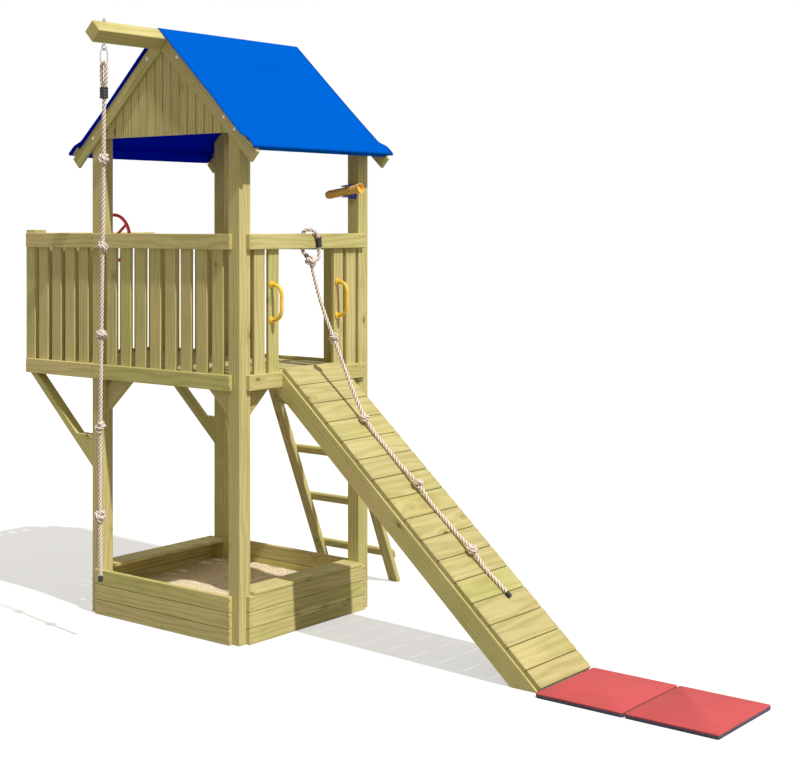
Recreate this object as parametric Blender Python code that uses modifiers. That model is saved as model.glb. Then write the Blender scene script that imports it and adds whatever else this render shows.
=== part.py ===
"""Wooden play tower with a roofed platform, balcony, ramp, ladder, sandbox and two safety mats.

Metres, +Z up. +X runs along the ramp, +Y to the ladder side, -Y to the gable that carries the rope beam.
Measures below are written from the outer front right corner of the tower's four posts. The world origin
is the centre of that front right post's foot, so one empty shifts everything by half a post.
"""

import math

import bmesh
import bpy
from mathutils import Euler, Matrix, Vector

# General
GAP = 0.0003                # clearance between pieces that touch
LAP = 0.0004                # overlap of boards that are joined into one piece
EDGE = 0.003                # planed edge of boards
FINE_EDGE = 0.0015

# Posts, rails and slats
POST = 0.09
WIDTH = 1.27                # outer size of the post frame along X
DEPTH = 1.14                # outer size of the post frame along Y
BOARD = 0.028               # thickness of rails, rafters and sandbox boards
RAIL = 0.09                 # height of the rails
RAIL_SET_IN = 0.055         # from a post's outer corner to a rail's end
RAIL_JOINT_SET_IN = 0.032   # from the tower's left side to the joint with the balcony's rails
LOW_RAIL_Z = 1.445          # underside of the lower rails
TOP_RAIL_Z = 2.25           # underside of the upper rails
SLAT = 0.02
SLAT_WIDTH = 0.088
SLAT_DROP = 0.006           # of the slats' tops below the upper rails' tops
FRONT_SLATS = 8
BALCONY_SLATS = 4
BALCONY_END_SLATS = 7
DOOR_SLATS = 2              # on each side of a doorway
DOOR_SLAT_GAP = 0.03
REAR_RAIL_DROP = 0.018      # of the rear upper rails below the others

# Balcony
BALCONY = 0.65              # reach of the balcony beyond the tower
BALCONY_SET_IN = 0.03       # from the balcony's outer corner to a rail's end
BALCONY_POST_RISE = 0.02    # of the front one above the upper rail

# Floor
JOIST = 0.028
JOIST_HEIGHT = 0.044
JOIST_LIFT = 0.0045         # above the underside of the lower rails
FLOOR_BOARD = 0.022
FLOOR_BOARDS = 11
FLOOR_BOARD_GAP = 0.008

# Roof
PITCH = math.radians(42.8)
ROOF_APEX_Z = 3.539         # where the rafters' upper lines would meet
RAFTER = 0.02
RAFTER_WIDTH = 0.08
RAFTER_LENGTH = 1.085       # from the apex along the slope
CLADDING = 0.018
CLADDING_BOARD = 0.07
CLADDING_GROOVE = 0.004
CLADDING_SKIRT = 0.114      # below the rafters' upper line, at the posts
CLADDING_DROP = 0.012       # of the cladding below the rafters' upper line
POST_TOP_DROP = 0.006
BATTEN_WIDTH = 0.063
BATTEN = 0.022
BATTEN_SET_IN = 0.022       # from the rafters' tails
BATTEN_PROUD = 0.004        # of the rafters' faces
TARP = 0.004
TARP_OVERHANG = 0.04
TARP_LIFT_OFF = 0.07        # slope on which the tarp rises from the rafters to the batten
TARP_FOLD = 0.012           # down the battens' outer edges
BEAM = 0.09
BEAM_TOP_Z = 3.552
BEAM_FRONT = 0.536          # reach of the ridge beam in front of the tower
BEAM_BACK = 0.05

# Sandbox
SANDBOX_BOARDS = 3
SANDBOX_JOINT = 0.003
TONGUE = 0.01
SEAT_WIDTH = 0.155
SEAT = 0.02
SEAT_OVERHANG = 0.004
SAND_Z = 0.14
SAND_SWELL = 0.01
SAND_COLUMNS = 12
SAND_ROWS = 10

# Ramp
RAMP_SLOPE = math.radians(40.67)
RAMP_TOP_X = 0.03
RAMP_TOP_Z = 1.56
RAMP_START = 0.338          # from the tower's front, boards
RAMP_WIDTH = 0.49
RAMP_BOARD_WIDTH = 0.145
RAMP_BOARD_GAP = 0.004
RAMP_BOARD = 0.028
RAMP_TOE = 0.028            # height of the boards' lower end
RAMP_BATTEN = 0.02
RAMP_BATTEN_WIDTH = 0.07
RAMP_BATTEN_SET_IN = 0.02
STRINGER = 0.04
STRINGER_DEPTH = 0.115
STRINGER_LIP = 0.01         # of the stringers outside the boards
STRINGER_NOSE = 0.012       # cut off their lower tips

# Ladder
LADDER_LEAN = math.radians(22.6)
LADDER_WIDTH = 0.68
LADDER_SHIFT = 0.03         # of its middle from the ridge
LADDER_RAIL_WIDTH = 0.076
LADDER_RAIL = 0.035
RUNG_HEIGHT = 0.06
RUNG = 0.028
RUNG_FIRST_Z = 0.19
RUNG_STEP = 0.341
RUNG_EDGE = 0.008
RUNGS = 4
LADDER_TOP_DROP = 0.012     # of its tip below the rail's upper edge

# Braces
BALCONY_BRACE_FALL = 0.55   # from the lower rails to the brace's heel on the post
BALCONY_BRACE_SET_IN = 0.04
BALCONY_BRACE = 0.045
BALCONY_BRACE_DEPTH = 0.065
BALCONY_BRACE_STEP = 0.195  # height of the block above the heel
CORNER_BRACE_FALL = 0.2
CORNER_BRACE_REACH = 0.22
CORNER_BRACE_WIDTH = 0.11
CORNER_BRACE = 0.04
CORNER_BRACE_SET_BACK = 0.045

# Steering wheel on the front left post
WHEEL_Z = 2.309
WHEEL_RADIUS = 0.1445
WHEEL_TUBE = 0.0105
WHEEL_TURN = math.radians(37)
SPOKES = 3
SPOKE = 0.009
WHEEL_HUB = 0.026
WHEEL_HUB_LENGTH = 0.022
WHEEL_AXLE = 0.008
WHEEL_STAND = 0.035
RUNNING_GAP = 0.0005

# Telescope on the rear right post
SCOPE_RISE = 0.26           # above the upper rails
SCOPE_TILT = math.radians(8.5)
SCOPE_RADIUS = 0.0265
SCOPE_BELL = 0.031
SCOPE_REAR = 0.16
SCOPE_FRONT = 0.12
SCOPE_PLATE = 0.006
SCOPE_BOSS = 0.016
SCOPE_BOSS_LENGTH = 0.012
YOKE = 0.006
YOKE_WIDTH = 0.046
YOKE_REACH = 0.02           # of the yoke's plates past the tube's axis
YOKE_ROOM = 0.004           # between the tube and the yoke's plates
YOKE_BACK_ROOM = 0.0145     # behind the tube, so that it can turn
SCOPE_PIN = 0.006

# Handles beside the ramp
HANDLE_DROP = 0.41          # of its lower foot below the upper rail
HANDLE_SPAN = 0.205
HANDLE_REACH = 0.08
HANDLE_TUBE = 0.0115
HANDLE_FOOT = 0.02
HANDLE_FOOT_THICKNESS = 0.008

# Rope tackle under the ridge beam
TACKLE_Y = -0.45
BOLT = 0.006
BOLT_RISE = 0.018
NUT = 0.012
NUT_HEIGHT = 0.009
EYE = 0.016
EYE_WIRE = 0.0045
HOOK_WIRE = 0.004
HOOK_HALF_WIDTH = 0.026
HOOK_HEIGHT = 0.0925
GATE_LENGTH = 0.028
GATE_SLACK = 0.0005

# Ropes
ROPE = 0.0125
LOOP_ROPE = 0.011
LOOP_HALF_WIDTH = 0.02
LOOP_HEIGHT = 0.15
BINDING = 0.025
BINDING_HEIGHT = 0.067
BINDING_LAP = 0.008         # over the loop's lower end
KNOT = 0.034
ROPE_KNOTS_Z = (2.768, 2.267, 1.76, 1.237, 0.728)
CLIMB_ROUTE = (
    (-0.635, 3.16), (-0.636, 3.02), (-0.637, 2.9), (-0.638, 2.768), (-0.641, 2.62), (-0.644, 2.45),
    (-0.647, 2.267), (-0.651, 2.1), (-0.655, 1.93), (-0.658, 1.76), (-0.661, 1.58), (-0.664, 1.4),
    (-0.667, 1.237), (-0.669, 1.06), (-0.67, 0.89), (-0.671, 0.728), (-0.67, 0.6), (-0.668, 0.47),
    (-0.665, 0.355),
)
RAIL_TIE_ROUTE = (          # heights from the upper rail's underside
    (0.046, 0.595, -0.067), (0.044, 0.625, -0.06), (0.041, 0.634, -0.02), (0.041, 0.63, 0.04),
    (0.043, 0.61, 0.086), (0.032, 0.585, 0.11), (0.008, 0.563, 0.111), (-0.014, 0.555, 0.098),
    (-0.019, 0.551, 0.06), (-0.018, 0.548, 0.018), (-0.007, 0.545, -0.019), (0.02, 0.537, -0.034),
    (0.04, 0.538, -0.056), (0.05, 0.55, -0.082), (0.056, 0.557, -0.12), (0.077, 0.56, -0.196),
)
TIE_KNOT = (0.05, 0.552, -0.076)
RAMP_ROPE_ROUTE = (         # distance down the ramp, across it, and height above its boards
    (-0.1931, 0.57, 0.3430), (-0.0914, 0.574, 0.2906), (0.0244, 0.58, 0.2385), (0.1446, 0.59, 0.1769),
    (0.2710, 0.6, 0.1142), (0.3844, 0.605, 0.0666), (0.4861, 0.608, 0.0328), (0.5932, 0.612, 0.0154),
    (0.7197, 0.614, 0.0140), (0.8688, 0.608, 0.0170), (1.0069, 0.598, 0.0359), (1.1337, 0.604, 0.0156),
    (1.2544, 0.612, 0.0133), (1.3770, 0.61, 0.0165), (1.4996, 0.602, 0.0349), (1.6087, 0.61, 0.0153),
    (1.7159, 0.622, 0.0132), (1.8280, 0.633, 0.0132),
)
RAMP_ROPE_KNOTS = (2, 6, 10, 14)
RAMP_KNOT = 0.031
TIE_KNOT_RADIUS = 0.036

# Safety mats
MAT_CLEARANCE = 0.012       # from the ramp's lower end
MAT_START_Y = 0.262
MAT_LENGTH = 0.502
MAT_WIDTH = 0.567
MAT = 0.025
MAT_GAP = 0.012

# Derived places
INNER = WIDTH - POST
LOW_RAIL_TOP = LOW_RAIL_Z + RAIL
TOP_RAIL_TOP = TOP_RAIL_Z + RAIL
BALCONY_X = -WIDTH - BALCONY
SLAT_FACE = GAP + LAP
RIDGE_X = -WIDTH / 2
FLOOR_Z = LOW_RAIL_Z + JOIST_LIFT + JOIST_HEIGHT
FLOOR_TOP = FLOOR_Z + FLOOR_BOARD
SANDBOX_Z = SANDBOX_BOARDS * RAIL + (SANDBOX_BOARDS - 1) * SANDBOX_JOINT
DOOR_Y = POST + DOOR_SLATS * (DOOR_SLAT_GAP + SLAT_WIDTH)
DOOR_FAR_Y = DEPTH - POST - DOOR_SLATS * (DOOR_SLAT_GAP + SLAT_WIDTH)
BATTEN_END = RAFTER_LENGTH - BATTEN_SET_IN
COVER_LIFT = BATTEN + 2 * GAP
COVER_APEX_Z = BEAM_TOP_Z + GAP
BEAM_HALF = BEAM / math.sqrt(2)
BEAM_Z = BEAM_TOP_Z - BEAM_HALF
RAMP_LENGTH = (RAMP_TOP_Z - RAMP_TOE) / math.sin(RAMP_SLOPE)
HANDLE_Z = TOP_RAIL_Z - HANDLE_DROP
SCOPE_Z = TOP_RAIL_TOP + SCOPE_RISE
MAT_START_X = RAMP_TOP_X + RAMP_LENGTH * math.cos(RAMP_SLOPE) + MAT_CLEARANCE
MAT_STEP = MAT_LENGTH + MAT_GAP
RAIL_JOINT = -WIDTH + RAIL_JOINT_SET_IN

for old in list(bpy.data.objects):
    bpy.data.objects.remove(old)

parts = bpy.data.collections.new("play_tower")
joinery = bpy.data.collections.new("joinery")
bpy.context.scene.collection.children.link(parts)
bpy.context.scene.collection.children.link(joinery)
tower = bpy.data.objects.new("tower_corner", None)
tower.location = (POST / 2, -POST / 2, 0)
parts.objects.link(tower)


def finish(name, colour, roughness, metallic=0.0):
    material = bpy.data.materials.new(name)
    material.use_nodes = True
    shader = material.node_tree.nodes["Principled BSDF"]
    shader.inputs["Base Color"].default_value = (*colour, 1)
    shader.inputs["Roughness"].default_value = roughness
    shader.inputs["Metallic"].default_value = metallic
    return material


WOOD = finish("pressure_treated_pine", (0.52, 0.46, 0.2), 0.75)
BLUE_TARP = finish("blue_tarp", (0.0, 0.12, 0.72), 0.45)
RED_RUBBER = finish("red_rubber", (0.72, 0.12, 0.12), 0.9)
RED_PLASTIC = finish("red_plastic", (0.75, 0.03, 0.06), 0.35)
ORANGE_PLASTIC = finish("orange_plastic", (0.95, 0.36, 0.05), 0.35)
YELLOW_PLASTIC = finish("yellow_plastic", (0.95, 0.6, 0.05), 0.35)
BLUE_PLASTIC = finish("dark_blue_plastic", (0.03, 0.02, 0.2), 0.4)
STEEL = finish("galvanised_steel", (0.6, 0.6, 0.6), 0.35, 1.0)
ROPE_FIBRE = finish("cream_rope", (0.72, 0.6, 0.5), 0.9)
SAND = finish("play_sand", (0.75, 0.55, 0.35), 0.95)


def add(name, data, material, place=None):
    """An object of the tower, placed by a matrix in the tower's own measures."""
    obj = bpy.data.objects.new(name, data)
    obj.parent = tower
    obj.matrix_basis = place or Matrix()
    data.materials.append(material)
    parts.objects.link(obj)
    return obj


def soften(obj, width):
    """Planes the sharp edges of a board."""
    if width:
        bevel = obj.modifiers.new("planed_edges", "BEVEL")
        bevel.width = width
        bevel.segments = 1
        bevel.limit_method = "ANGLE"


def mesh_of(name, shape):
    mesh = bpy.data.meshes.new(name)
    shape.to_mesh(mesh)
    shape.free()
    return mesh


def board(name, low, high, material=WOOD, edge=EDGE, place=None):
    """A square-edged board between two opposite corners."""
    low, high = Vector(low), Vector(high)
    shape = bmesh.new()
    bmesh.ops.create_cube(shape, size=1)
    bmesh.ops.scale(shape, vec=high - low, verts=shape.verts)
    centre = Matrix.Translation((low + high) / 2)
    obj = add(name, mesh_of(name, shape), material, (place or Matrix()) @ centre)
    soften(obj, edge)
    return obj


def solid_mesh(guide, flat_faces=False):
    """A welded mesh of a curve, which then goes."""
    bpy.context.view_layer.update()
    graph = bpy.context.evaluated_depsgraph_get()
    mesh = bpy.data.meshes.new_from_object(guide.evaluated_get(graph))
    shape = bmesh.new()
    shape.from_mesh(mesh)
    bmesh.ops.remove_doubles(shape, verts=shape.verts, dist=0.00001)
    if flat_faces:
        bmesh.ops.dissolve_limit(shape, angle_limit=0.001, verts=shape.verts, edges=shape.edges)
    bmesh.ops.recalc_face_normals(shape, faces=shape.faces)
    shape.to_mesh(mesh)
    shape.free()
    bpy.data.objects.remove(guide)
    return mesh


SIDEWAYS = {"X": Euler((math.pi / 2, 0, math.pi / 2)), "Y": Euler((math.pi / 2, 0, 0)), "Z": Euler()}


def prism(name, outline, axis, start, end, material=WOOD, edge=EDGE, shift=(0, 0, 0)):
    """A flat outline, in the two other measures, given a thickness from start to end along an axis."""
    curve = bpy.data.curves.new(name, "CURVE")
    curve.dimensions = "2D"
    curve.fill_mode = "BOTH"
    curve.extrude = (end - start) / 2
    spline = curve.splines.new("POLY")
    spline.points.add(len(outline) - 1)
    spline.use_cyclic_u = True
    for point, (across, up) in zip(spline.points, outline):
        point.co = (across, up, 0, 1)
    guide = bpy.data.objects.new(name, curve)
    parts.objects.link(guide)
    middle = {"X": Vector((1, 0, 0)), "Y": Vector((0, 1, 0)), "Z": Vector((0, 0, 1))}[axis]
    place = Matrix.Translation(Vector(shift) + middle * (start + end) / 2) @ SIDEWAYS[axis].to_matrix().to_4x4()
    obj = add(name, solid_mesh(guide, True), material, place)
    soften(obj, edge)
    return obj


def tube_curve(name, points, radius, closed_ring=False, resolution=2):
    curve = bpy.data.curves.new(name, "CURVE")
    curve.dimensions = "3D"
    curve.bevel_depth = radius
    curve.bevel_resolution = resolution
    curve.use_fill_caps = True
    spline = curve.splines.new("POLY")
    spline.points.add(len(points) - 1)
    spline.use_cyclic_u = closed_ring
    for point, place in zip(spline.points, points):
        point.co = (*place, 1)
    return curve


def tube(name, points, radius, material, closed_ring=False, resolution=2, place=None):
    """A round bar along points, as a mesh that can be cut and joined."""
    guide = bpy.data.objects.new(name, tube_curve(name, points, radius, closed_ring, resolution))
    parts.objects.link(guide)
    obj = add(name, solid_mesh(guide), material, place)
    obj.data.shade_smooth()
    obj.data.set_sharp_from_angle(angle=math.radians(50))
    return obj


def cylinder(name, start, end, radius, material, sides=16):
    """A round pin from start to end."""
    start, end = Vector(start), Vector(end)
    shape = bmesh.new()
    bmesh.ops.create_cone(
        shape, cap_ends=True, segments=sides, radius1=radius, radius2=radius, depth=(end - start).length
    )
    turn = (end - start).to_track_quat("Z", "Y").to_matrix().to_4x4()
    obj = add(name, mesh_of(name, shape), material, Matrix.Translation((start + end) / 2) @ turn)
    obj.data.shade_smooth()
    obj.data.set_sharp_from_angle(angle=math.radians(40))
    return obj


def ball(name, centre, radius, material, squash=(1, 1, 1)):
    shape = bmesh.new()
    bmesh.ops.create_uvsphere(shape, u_segments=12, v_segments=8, radius=radius)
    bmesh.ops.scale(shape, vec=squash, verts=shape.verts)
    obj = add(name, mesh_of(name, shape), material, Matrix.Translation(centre))
    obj.data.shade_smooth()
    return obj


def helper(obj):
    """Takes a shape out of the tower: it only cuts or joins."""
    parts.objects.unlink(obj)
    joinery.objects.link(obj)
    obj.hide_render = True
    obj.display_type = "WIRE"


def combine(obj, others, operation):
    for number, other in enumerate(others):
        helper(other)
        step = obj.modifiers.new(f"{operation.lower()}_{number}", "BOOLEAN")
        step.operation = operation
        step.object = other
    return obj


def join(obj, others):
    return combine(obj, others, "UNION")


def cut(obj, others):
    return combine(obj, others, "DIFFERENCE")


def carry(obj, pivot):
    """Moves an object's origin onto the axis it turns about, without moving its shape."""
    shift = Matrix.Translation(pivot)
    obj.data.transform(shift.inverted() @ obj.matrix_basis)
    obj.matrix_basis = shift
    return obj


def spread(low, high, count, width):
    """Starts of equally spaced boards between two faces, with a gap at both ends too."""
    gap = (high - low - count * width) / (count + 1)
    return [low + gap + number * (width + gap) for number in range(count)]


def smooth(points, pieces):
    """Points of a Catmull-Rom curve through the given ones."""
    points = [Vector(point) for point in points]
    ends = [2 * points[0] - points[1], *points, 2 * points[-1] - points[-2]]
    found = []
    for before, start, end, after in zip(ends, ends[1:], ends[2:], ends[3:]):
        for number in range(pieces):
            t = number / pieces
            found.append(
                0.5 * (2 * start + (end - before) * t + (2 * before - 5 * start + 4 * end - after) * t * t
                       + (3 * start - before - 3 * end + after) * t * t * t)
            )
    return [*found, points[-1]]


def roof_point(along, lift, side):
    """A point in X and Z at a distance down the slope and above the rafters' upper line."""
    return (
        RIDGE_X + side * (along * math.cos(PITCH) + lift * math.sin(PITCH)),
        ROOF_APEX_Z - along * math.sin(PITCH) + lift * math.cos(PITCH),
    )


def roof_z(x, drop=0.0):
    """Height of the rafters' upper line at x, less a plumb drop."""
    return ROOF_APEX_Z - abs(x - RIDGE_X) * math.tan(PITCH) - drop


def tall_posts():
    for name, x, y in (
        ("post_front_right", -POST, 0), ("post_front_left", -WIDTH, 0),
        ("post_rear_right", -POST, DEPTH - POST), ("post_rear_left", -WIDTH, DEPTH - POST),
    ):
        outline = (
            (x, 0), (x + POST, 0),
            (x + POST, roof_z(x + POST, POST_TOP_DROP)), (x, roof_z(x, POST_TOP_DROP)),
        )
        prism(name, outline, "Y", y, y + POST)


def balcony_posts():
    for name, y, rise in (
        ("balcony_post_front", 0, BALCONY_POST_RISE), ("balcony_post_rear", DEPTH - POST, -REAR_RAIL_DROP),
    ):
        board(name, (BALCONY_X, y, LOW_RAIL_Z), (BALCONY_X + POST, y + POST, TOP_RAIL_TOP + rise))


def rail_set(name, axis, face, outward, start, end, slats, low_spans=(), drop=0.0):
    """An upper rail with the slats screwed to its back, and any lower rails, as one panel."""
    near, far = sorted((face + outward * GAP, face + outward * BOARD))
    back, front = sorted((face - outward * SLAT, face + outward * SLAT_FACE))

    def piece(part, first, last, low, high, z_low, z_high, edge):
        if axis == "X":
            return board(part, (first, low, z_low), (last, high, z_high), edge=edge)
        return board(part, (low, first, z_low), (high, last, z_high), edge=edge)

    rail = piece(name, start, end, near, far, TOP_RAIL_Z - drop, TOP_RAIL_TOP - drop, EDGE)
    bars = [
        piece(f"{name}_slat_{number}", first, first + SLAT_WIDTH, back, front,
              LOW_RAIL_Z + JOIST_LIFT, TOP_RAIL_TOP - drop - SLAT_DROP, FINE_EDGE)
        for number, first in enumerate(slats)
    ]
    lows = [
        piece(f"{name}_low_{number}", first, last, near, far, LOW_RAIL_Z, LOW_RAIL_TOP, EDGE)
        for number, (first, last) in enumerate(low_spans)
    ]
    return join(rail, bars + lows)


def railings():
    """Six railing panels. The two front ones have lower rails of their own, under low_rails."""
    left = BALCONY_X + BALCONY_SET_IN
    front_slats = spread(-INNER, -POST, FRONT_SLATS, SLAT_WIDTH)
    rail_set("railing_front", "X", 0, -1, RAIL_JOINT, -RAIL_SET_IN, front_slats)
    rail_set("railing_balcony_front", "X", 0, -1, left, RAIL_JOINT - GAP,
             spread(BALCONY_X + POST, -WIDTH, BALCONY_SLATS, SLAT_WIDTH))
    rail_set("railing_balcony_rear", "X", DEPTH, 1, left, RAIL_JOINT - GAP,
             spread(BALCONY_X + POST, -WIDTH, BALCONY_SLATS, SLAT_WIDTH), ((left, RAIL_JOINT - GAP),),
             REAR_RAIL_DROP)
    across = (BALCONY_SET_IN, DEPTH - BALCONY_SET_IN)
    rail_set("railing_balcony_end", "Y", BALCONY_X, -1, *across,
             spread(POST, DEPTH - POST, BALCONY_END_SLATS, SLAT_WIDTH), (across,))
    step = DOOR_SLAT_GAP + SLAT_WIDTH
    near = [POST + DOOR_SLAT_GAP + number * step for number in range(DOOR_SLATS)]
    ramp_near = RAMP_START - STRINGER_LIP - GAP
    ramp_far = RAMP_START + RAMP_WIDTH + STRINGER_LIP + GAP
    rail_set("railing_ramp_side", "Y", 0, 1, RAIL_SET_IN, DEPTH - RAIL_SET_IN,
             near + [DEPTH - start - SLAT_WIDTH for start in near],
             ((RAIL_SET_IN, ramp_near), (ramp_far, DEPTH - RAIL_SET_IN)))
    rail_set("railing_ladder_side", "X", DEPTH, 1, RAIL_JOINT, -RAIL_SET_IN,
             front_slats[:DOOR_SLATS] + front_slats[-DOOR_SLATS:], ((RAIL_JOINT, -RAIL_SET_IN),),
             REAR_RAIL_DROP)


def low_rails():
    back = -SLAT_FACE - GAP
    board("low_rail_front", (RAIL_JOINT, -BOARD, LOW_RAIL_Z), (-RAIL_SET_IN, back, LOW_RAIL_TOP))
    board("low_rail_balcony_front", (BALCONY_X + BALCONY_SET_IN, -BOARD, LOW_RAIL_Z),
          (RAIL_JOINT - GAP, back, LOW_RAIL_TOP))


def floor():
    """Floor boards along X, joined to the joists below them."""
    back, front = DEPTH - SLAT - GAP, SLAT + GAP
    pitch = (back - front + FLOOR_BOARD_GAP) / FLOOR_BOARDS
    joist_xs = (
        BALCONY_X + POST + GAP, BALCONY_X + POST + BALCONY / 3, -WIDTH - JOIST - GAP, -INNER + GAP,
        RIDGE_X - JOIST / 2, -POST - JOIST - GAP,
    )
    pieces = []
    for number, x in enumerate(joist_xs):
        pieces.append(board(f"joist_{number}", (x, front, FLOOR_Z - JOIST_HEIGHT), (x + JOIST, back, FLOOR_Z),
                            edge=0))
    pieces.append(board("ramp_header", (-JOIST - SLAT, DOOR_Y + GAP, FLOOR_Z - JOIST_HEIGHT),
                        (-GAP, DOOR_FAR_Y - GAP, FLOOR_Z + LAP), edge=0))
    posts = ((BALCONY_X, POST), (-WIDTH, POST), (-POST, POST))
    for number in range(FLOOR_BOARDS):
        start = front + number * pitch
        end = start + pitch - FLOOR_BOARD_GAP
        plank = board(f"floor_board_{number}", (BALCONY_X + SLAT + GAP, start, FLOOR_Z - LAP),
                      (-SLAT - GAP, end, FLOOR_TOP), edge=FINE_EDGE)
        notches = []
        for x, width in posts:
            for low, high in ((0, POST), (DEPTH - POST, DEPTH)):
                if start < high + GAP and end > low - GAP:
                    notches.append(board(f"notch_{number}_{len(notches)}", (x - GAP, low - GAP, FLOOR_Z - 0.01),
                                         (x + width + GAP, high + GAP, FLOOR_TOP + 0.01), edge=0))
        pieces.append(cut(plank, notches))
    pieces.append(board("doorway_board", (-SLAT - 2 * GAP - LAP - 0.01, DOOR_Y + GAP, FLOOR_Z - LAP),
                        (-GAP, DOOR_FAR_Y - GAP, FLOOR_TOP), edge=0))
    deck = pieces.pop(5)
    deck.name = "floor_deck"
    join(deck, pieces)


def rafters():
    """Boards on the posts' outer faces, cut to bear on the ridge beam's lower sides."""
    slope = math.tan(PITCH)
    seat_z = BEAM_Z - BEAM_HALF - 2 * GAP
    lower_apex = ROOF_APEX_Z - RAFTER_WIDTH / math.cos(PITCH)
    start = max(GAP, (lower_apex - seat_z) / (1 + slope))
    meet = min(BEAM_HALF, (ROOF_APEX_Z - seat_z) / (1 + slope))
    for side, side_name in ((-1, "left"), (1, "right")):
        outline = [
            (RIDGE_X + side * start, lower_apex - start * slope), (RIDGE_X + side * meet, seat_z + meet),
            roof_point(RAFTER_LENGTH, 0, side), roof_point(RAFTER_LENGTH, -RAFTER_WIDTH, side),
        ]
        if lower_apex < seat_z:
            outline.insert(1, (RIDGE_X + side * start, seat_z + start))
        for end_name, low, high in (
            ("front", -GAP - RAFTER, -GAP), ("rear", DEPTH + GAP, DEPTH + GAP + RAFTER),
        ):
            prism(f"rafter_{end_name}_{side_name}", outline, "Y", low, high)


def gables():
    """Upright grooved boards in the two gables, between the posts and cut round the ridge beam."""
    left, right = -INNER + GAP, -POST - GAP
    bottom = roof_z(-POST, CLADDING_SKIRT)
    count = math.ceil((right - left) / CLADDING_BOARD) - 1
    stations = {left: 0, RIDGE_X: 0, right: 0}
    for number in range(count):
        x = RIDGE_X + (number - (count - 1) / 2) * CLADDING_BOARD
        stations.update({x - CLADDING_GROOVE: 0, x: CLADDING_GROOVE, x + CLADDING_GROOVE: 0})
    room = BEAM_HALF + 2 * GAP
    for name, low, high in (("gable_front", 0, CLADDING), ("gable_rear", DEPTH - CLADDING, DEPTH)):
        shape = bmesh.new()
        before = None
        for x, groove in sorted(stations.items()):
            top = roof_z(x, CLADDING_DROP)
            loop = [shape.verts.new(place) for place in (
                (x, low + groove, bottom), (x, low + groove, top),
                (x, high - groove, top), (x, high - groove, bottom))]
            if before:
                for number in range(4):
                    shape.faces.new((before[number], before[number - 1], loop[number - 1], loop[number]))
            else:
                shape.faces.new(loop)
            before = loop
        shape.faces.new(before)
        bmesh.ops.recalc_face_normals(shape, faces=shape.faces)
        panel = add(name, mesh_of(name, shape), WOOD)
        notch = [(RIDGE_X, BEAM_Z - room), (RIDGE_X + room, BEAM_Z),
                 (RIDGE_X, BEAM_Z + room), (RIDGE_X - room, BEAM_Z)]
        cut(panel, [prism(f"{name}_notch", notch, "Y", low - EDGE, high + EDGE, edge=0)])


def ridge_beam():
    """A square beam laid on its edge, with the eye bolt's hole through it."""
    corners = [(RIDGE_X, BEAM_Z - BEAM_HALF), (RIDGE_X + BEAM_HALF, BEAM_Z),
               (RIDGE_X, BEAM_Z + BEAM_HALF), (RIDGE_X - BEAM_HALF, BEAM_Z)]
    beam = prism("ridge_beam", corners, "Y", -BEAM_FRONT, DEPTH + BEAM_BACK)
    hole = cylinder("bolt_hole", (RIDGE_X, TACKLE_Y, BEAM_Z - BEAM), (RIDGE_X, TACKLE_Y, BEAM_Z + BEAM),
                    BOLT + GAP, STEEL)
    cut(beam, [hole])


def roof_cover():
    """Eave battens on the rafters, and the tarp over them and the ridge beam."""
    face = GAP + RAFTER + BATTEN_PROUD
    start = BATTEN_END - BATTEN_WIDTH
    for side, name in ((-1, "left"), (1, "right")):
        outline = [roof_point(along, lift, side) for along, lift in (
            (start, GAP), (BATTEN_END, GAP), (BATTEN_END, GAP + BATTEN), (start, GAP + BATTEN))]
        prism(f"eave_batten_{name}", outline, "Y", -face, DEPTH + face, edge=FINE_EDGE)
    end = BATTEN_END + GAP
    inner = [(end, COVER_LIFT - TARP_FOLD), (end, COVER_LIFT), (start, COVER_LIFT),
             (start - TARP_LIFT_OFF, 2 * GAP)]
    outer = [(end + TARP, COVER_LIFT - TARP_FOLD), (end + TARP, COVER_LIFT + TARP),
             (start - TARP / 4, COVER_LIFT + TARP),
             (start - TARP_LIFT_OFF - TARP / 4, 2 * GAP + TARP)]
    outline = [roof_point(*point, -1) for point in inner]
    outline.append((RIDGE_X, COVER_APEX_Z))
    outline += [roof_point(*point, 1) for point in reversed(inner)]
    outline += [roof_point(*point, 1) for point in outer]
    outline.append((RIDGE_X, COVER_APEX_Z + TARP / math.cos(PITCH)))
    outline += [roof_point(*point, -1) for point in reversed(outer)]
    prism("roof_tarp", outline, "Y", -TARP_OVERHANG, DEPTH + TARP_OVERHANG, BLUE_TARP, edge=0)


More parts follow.
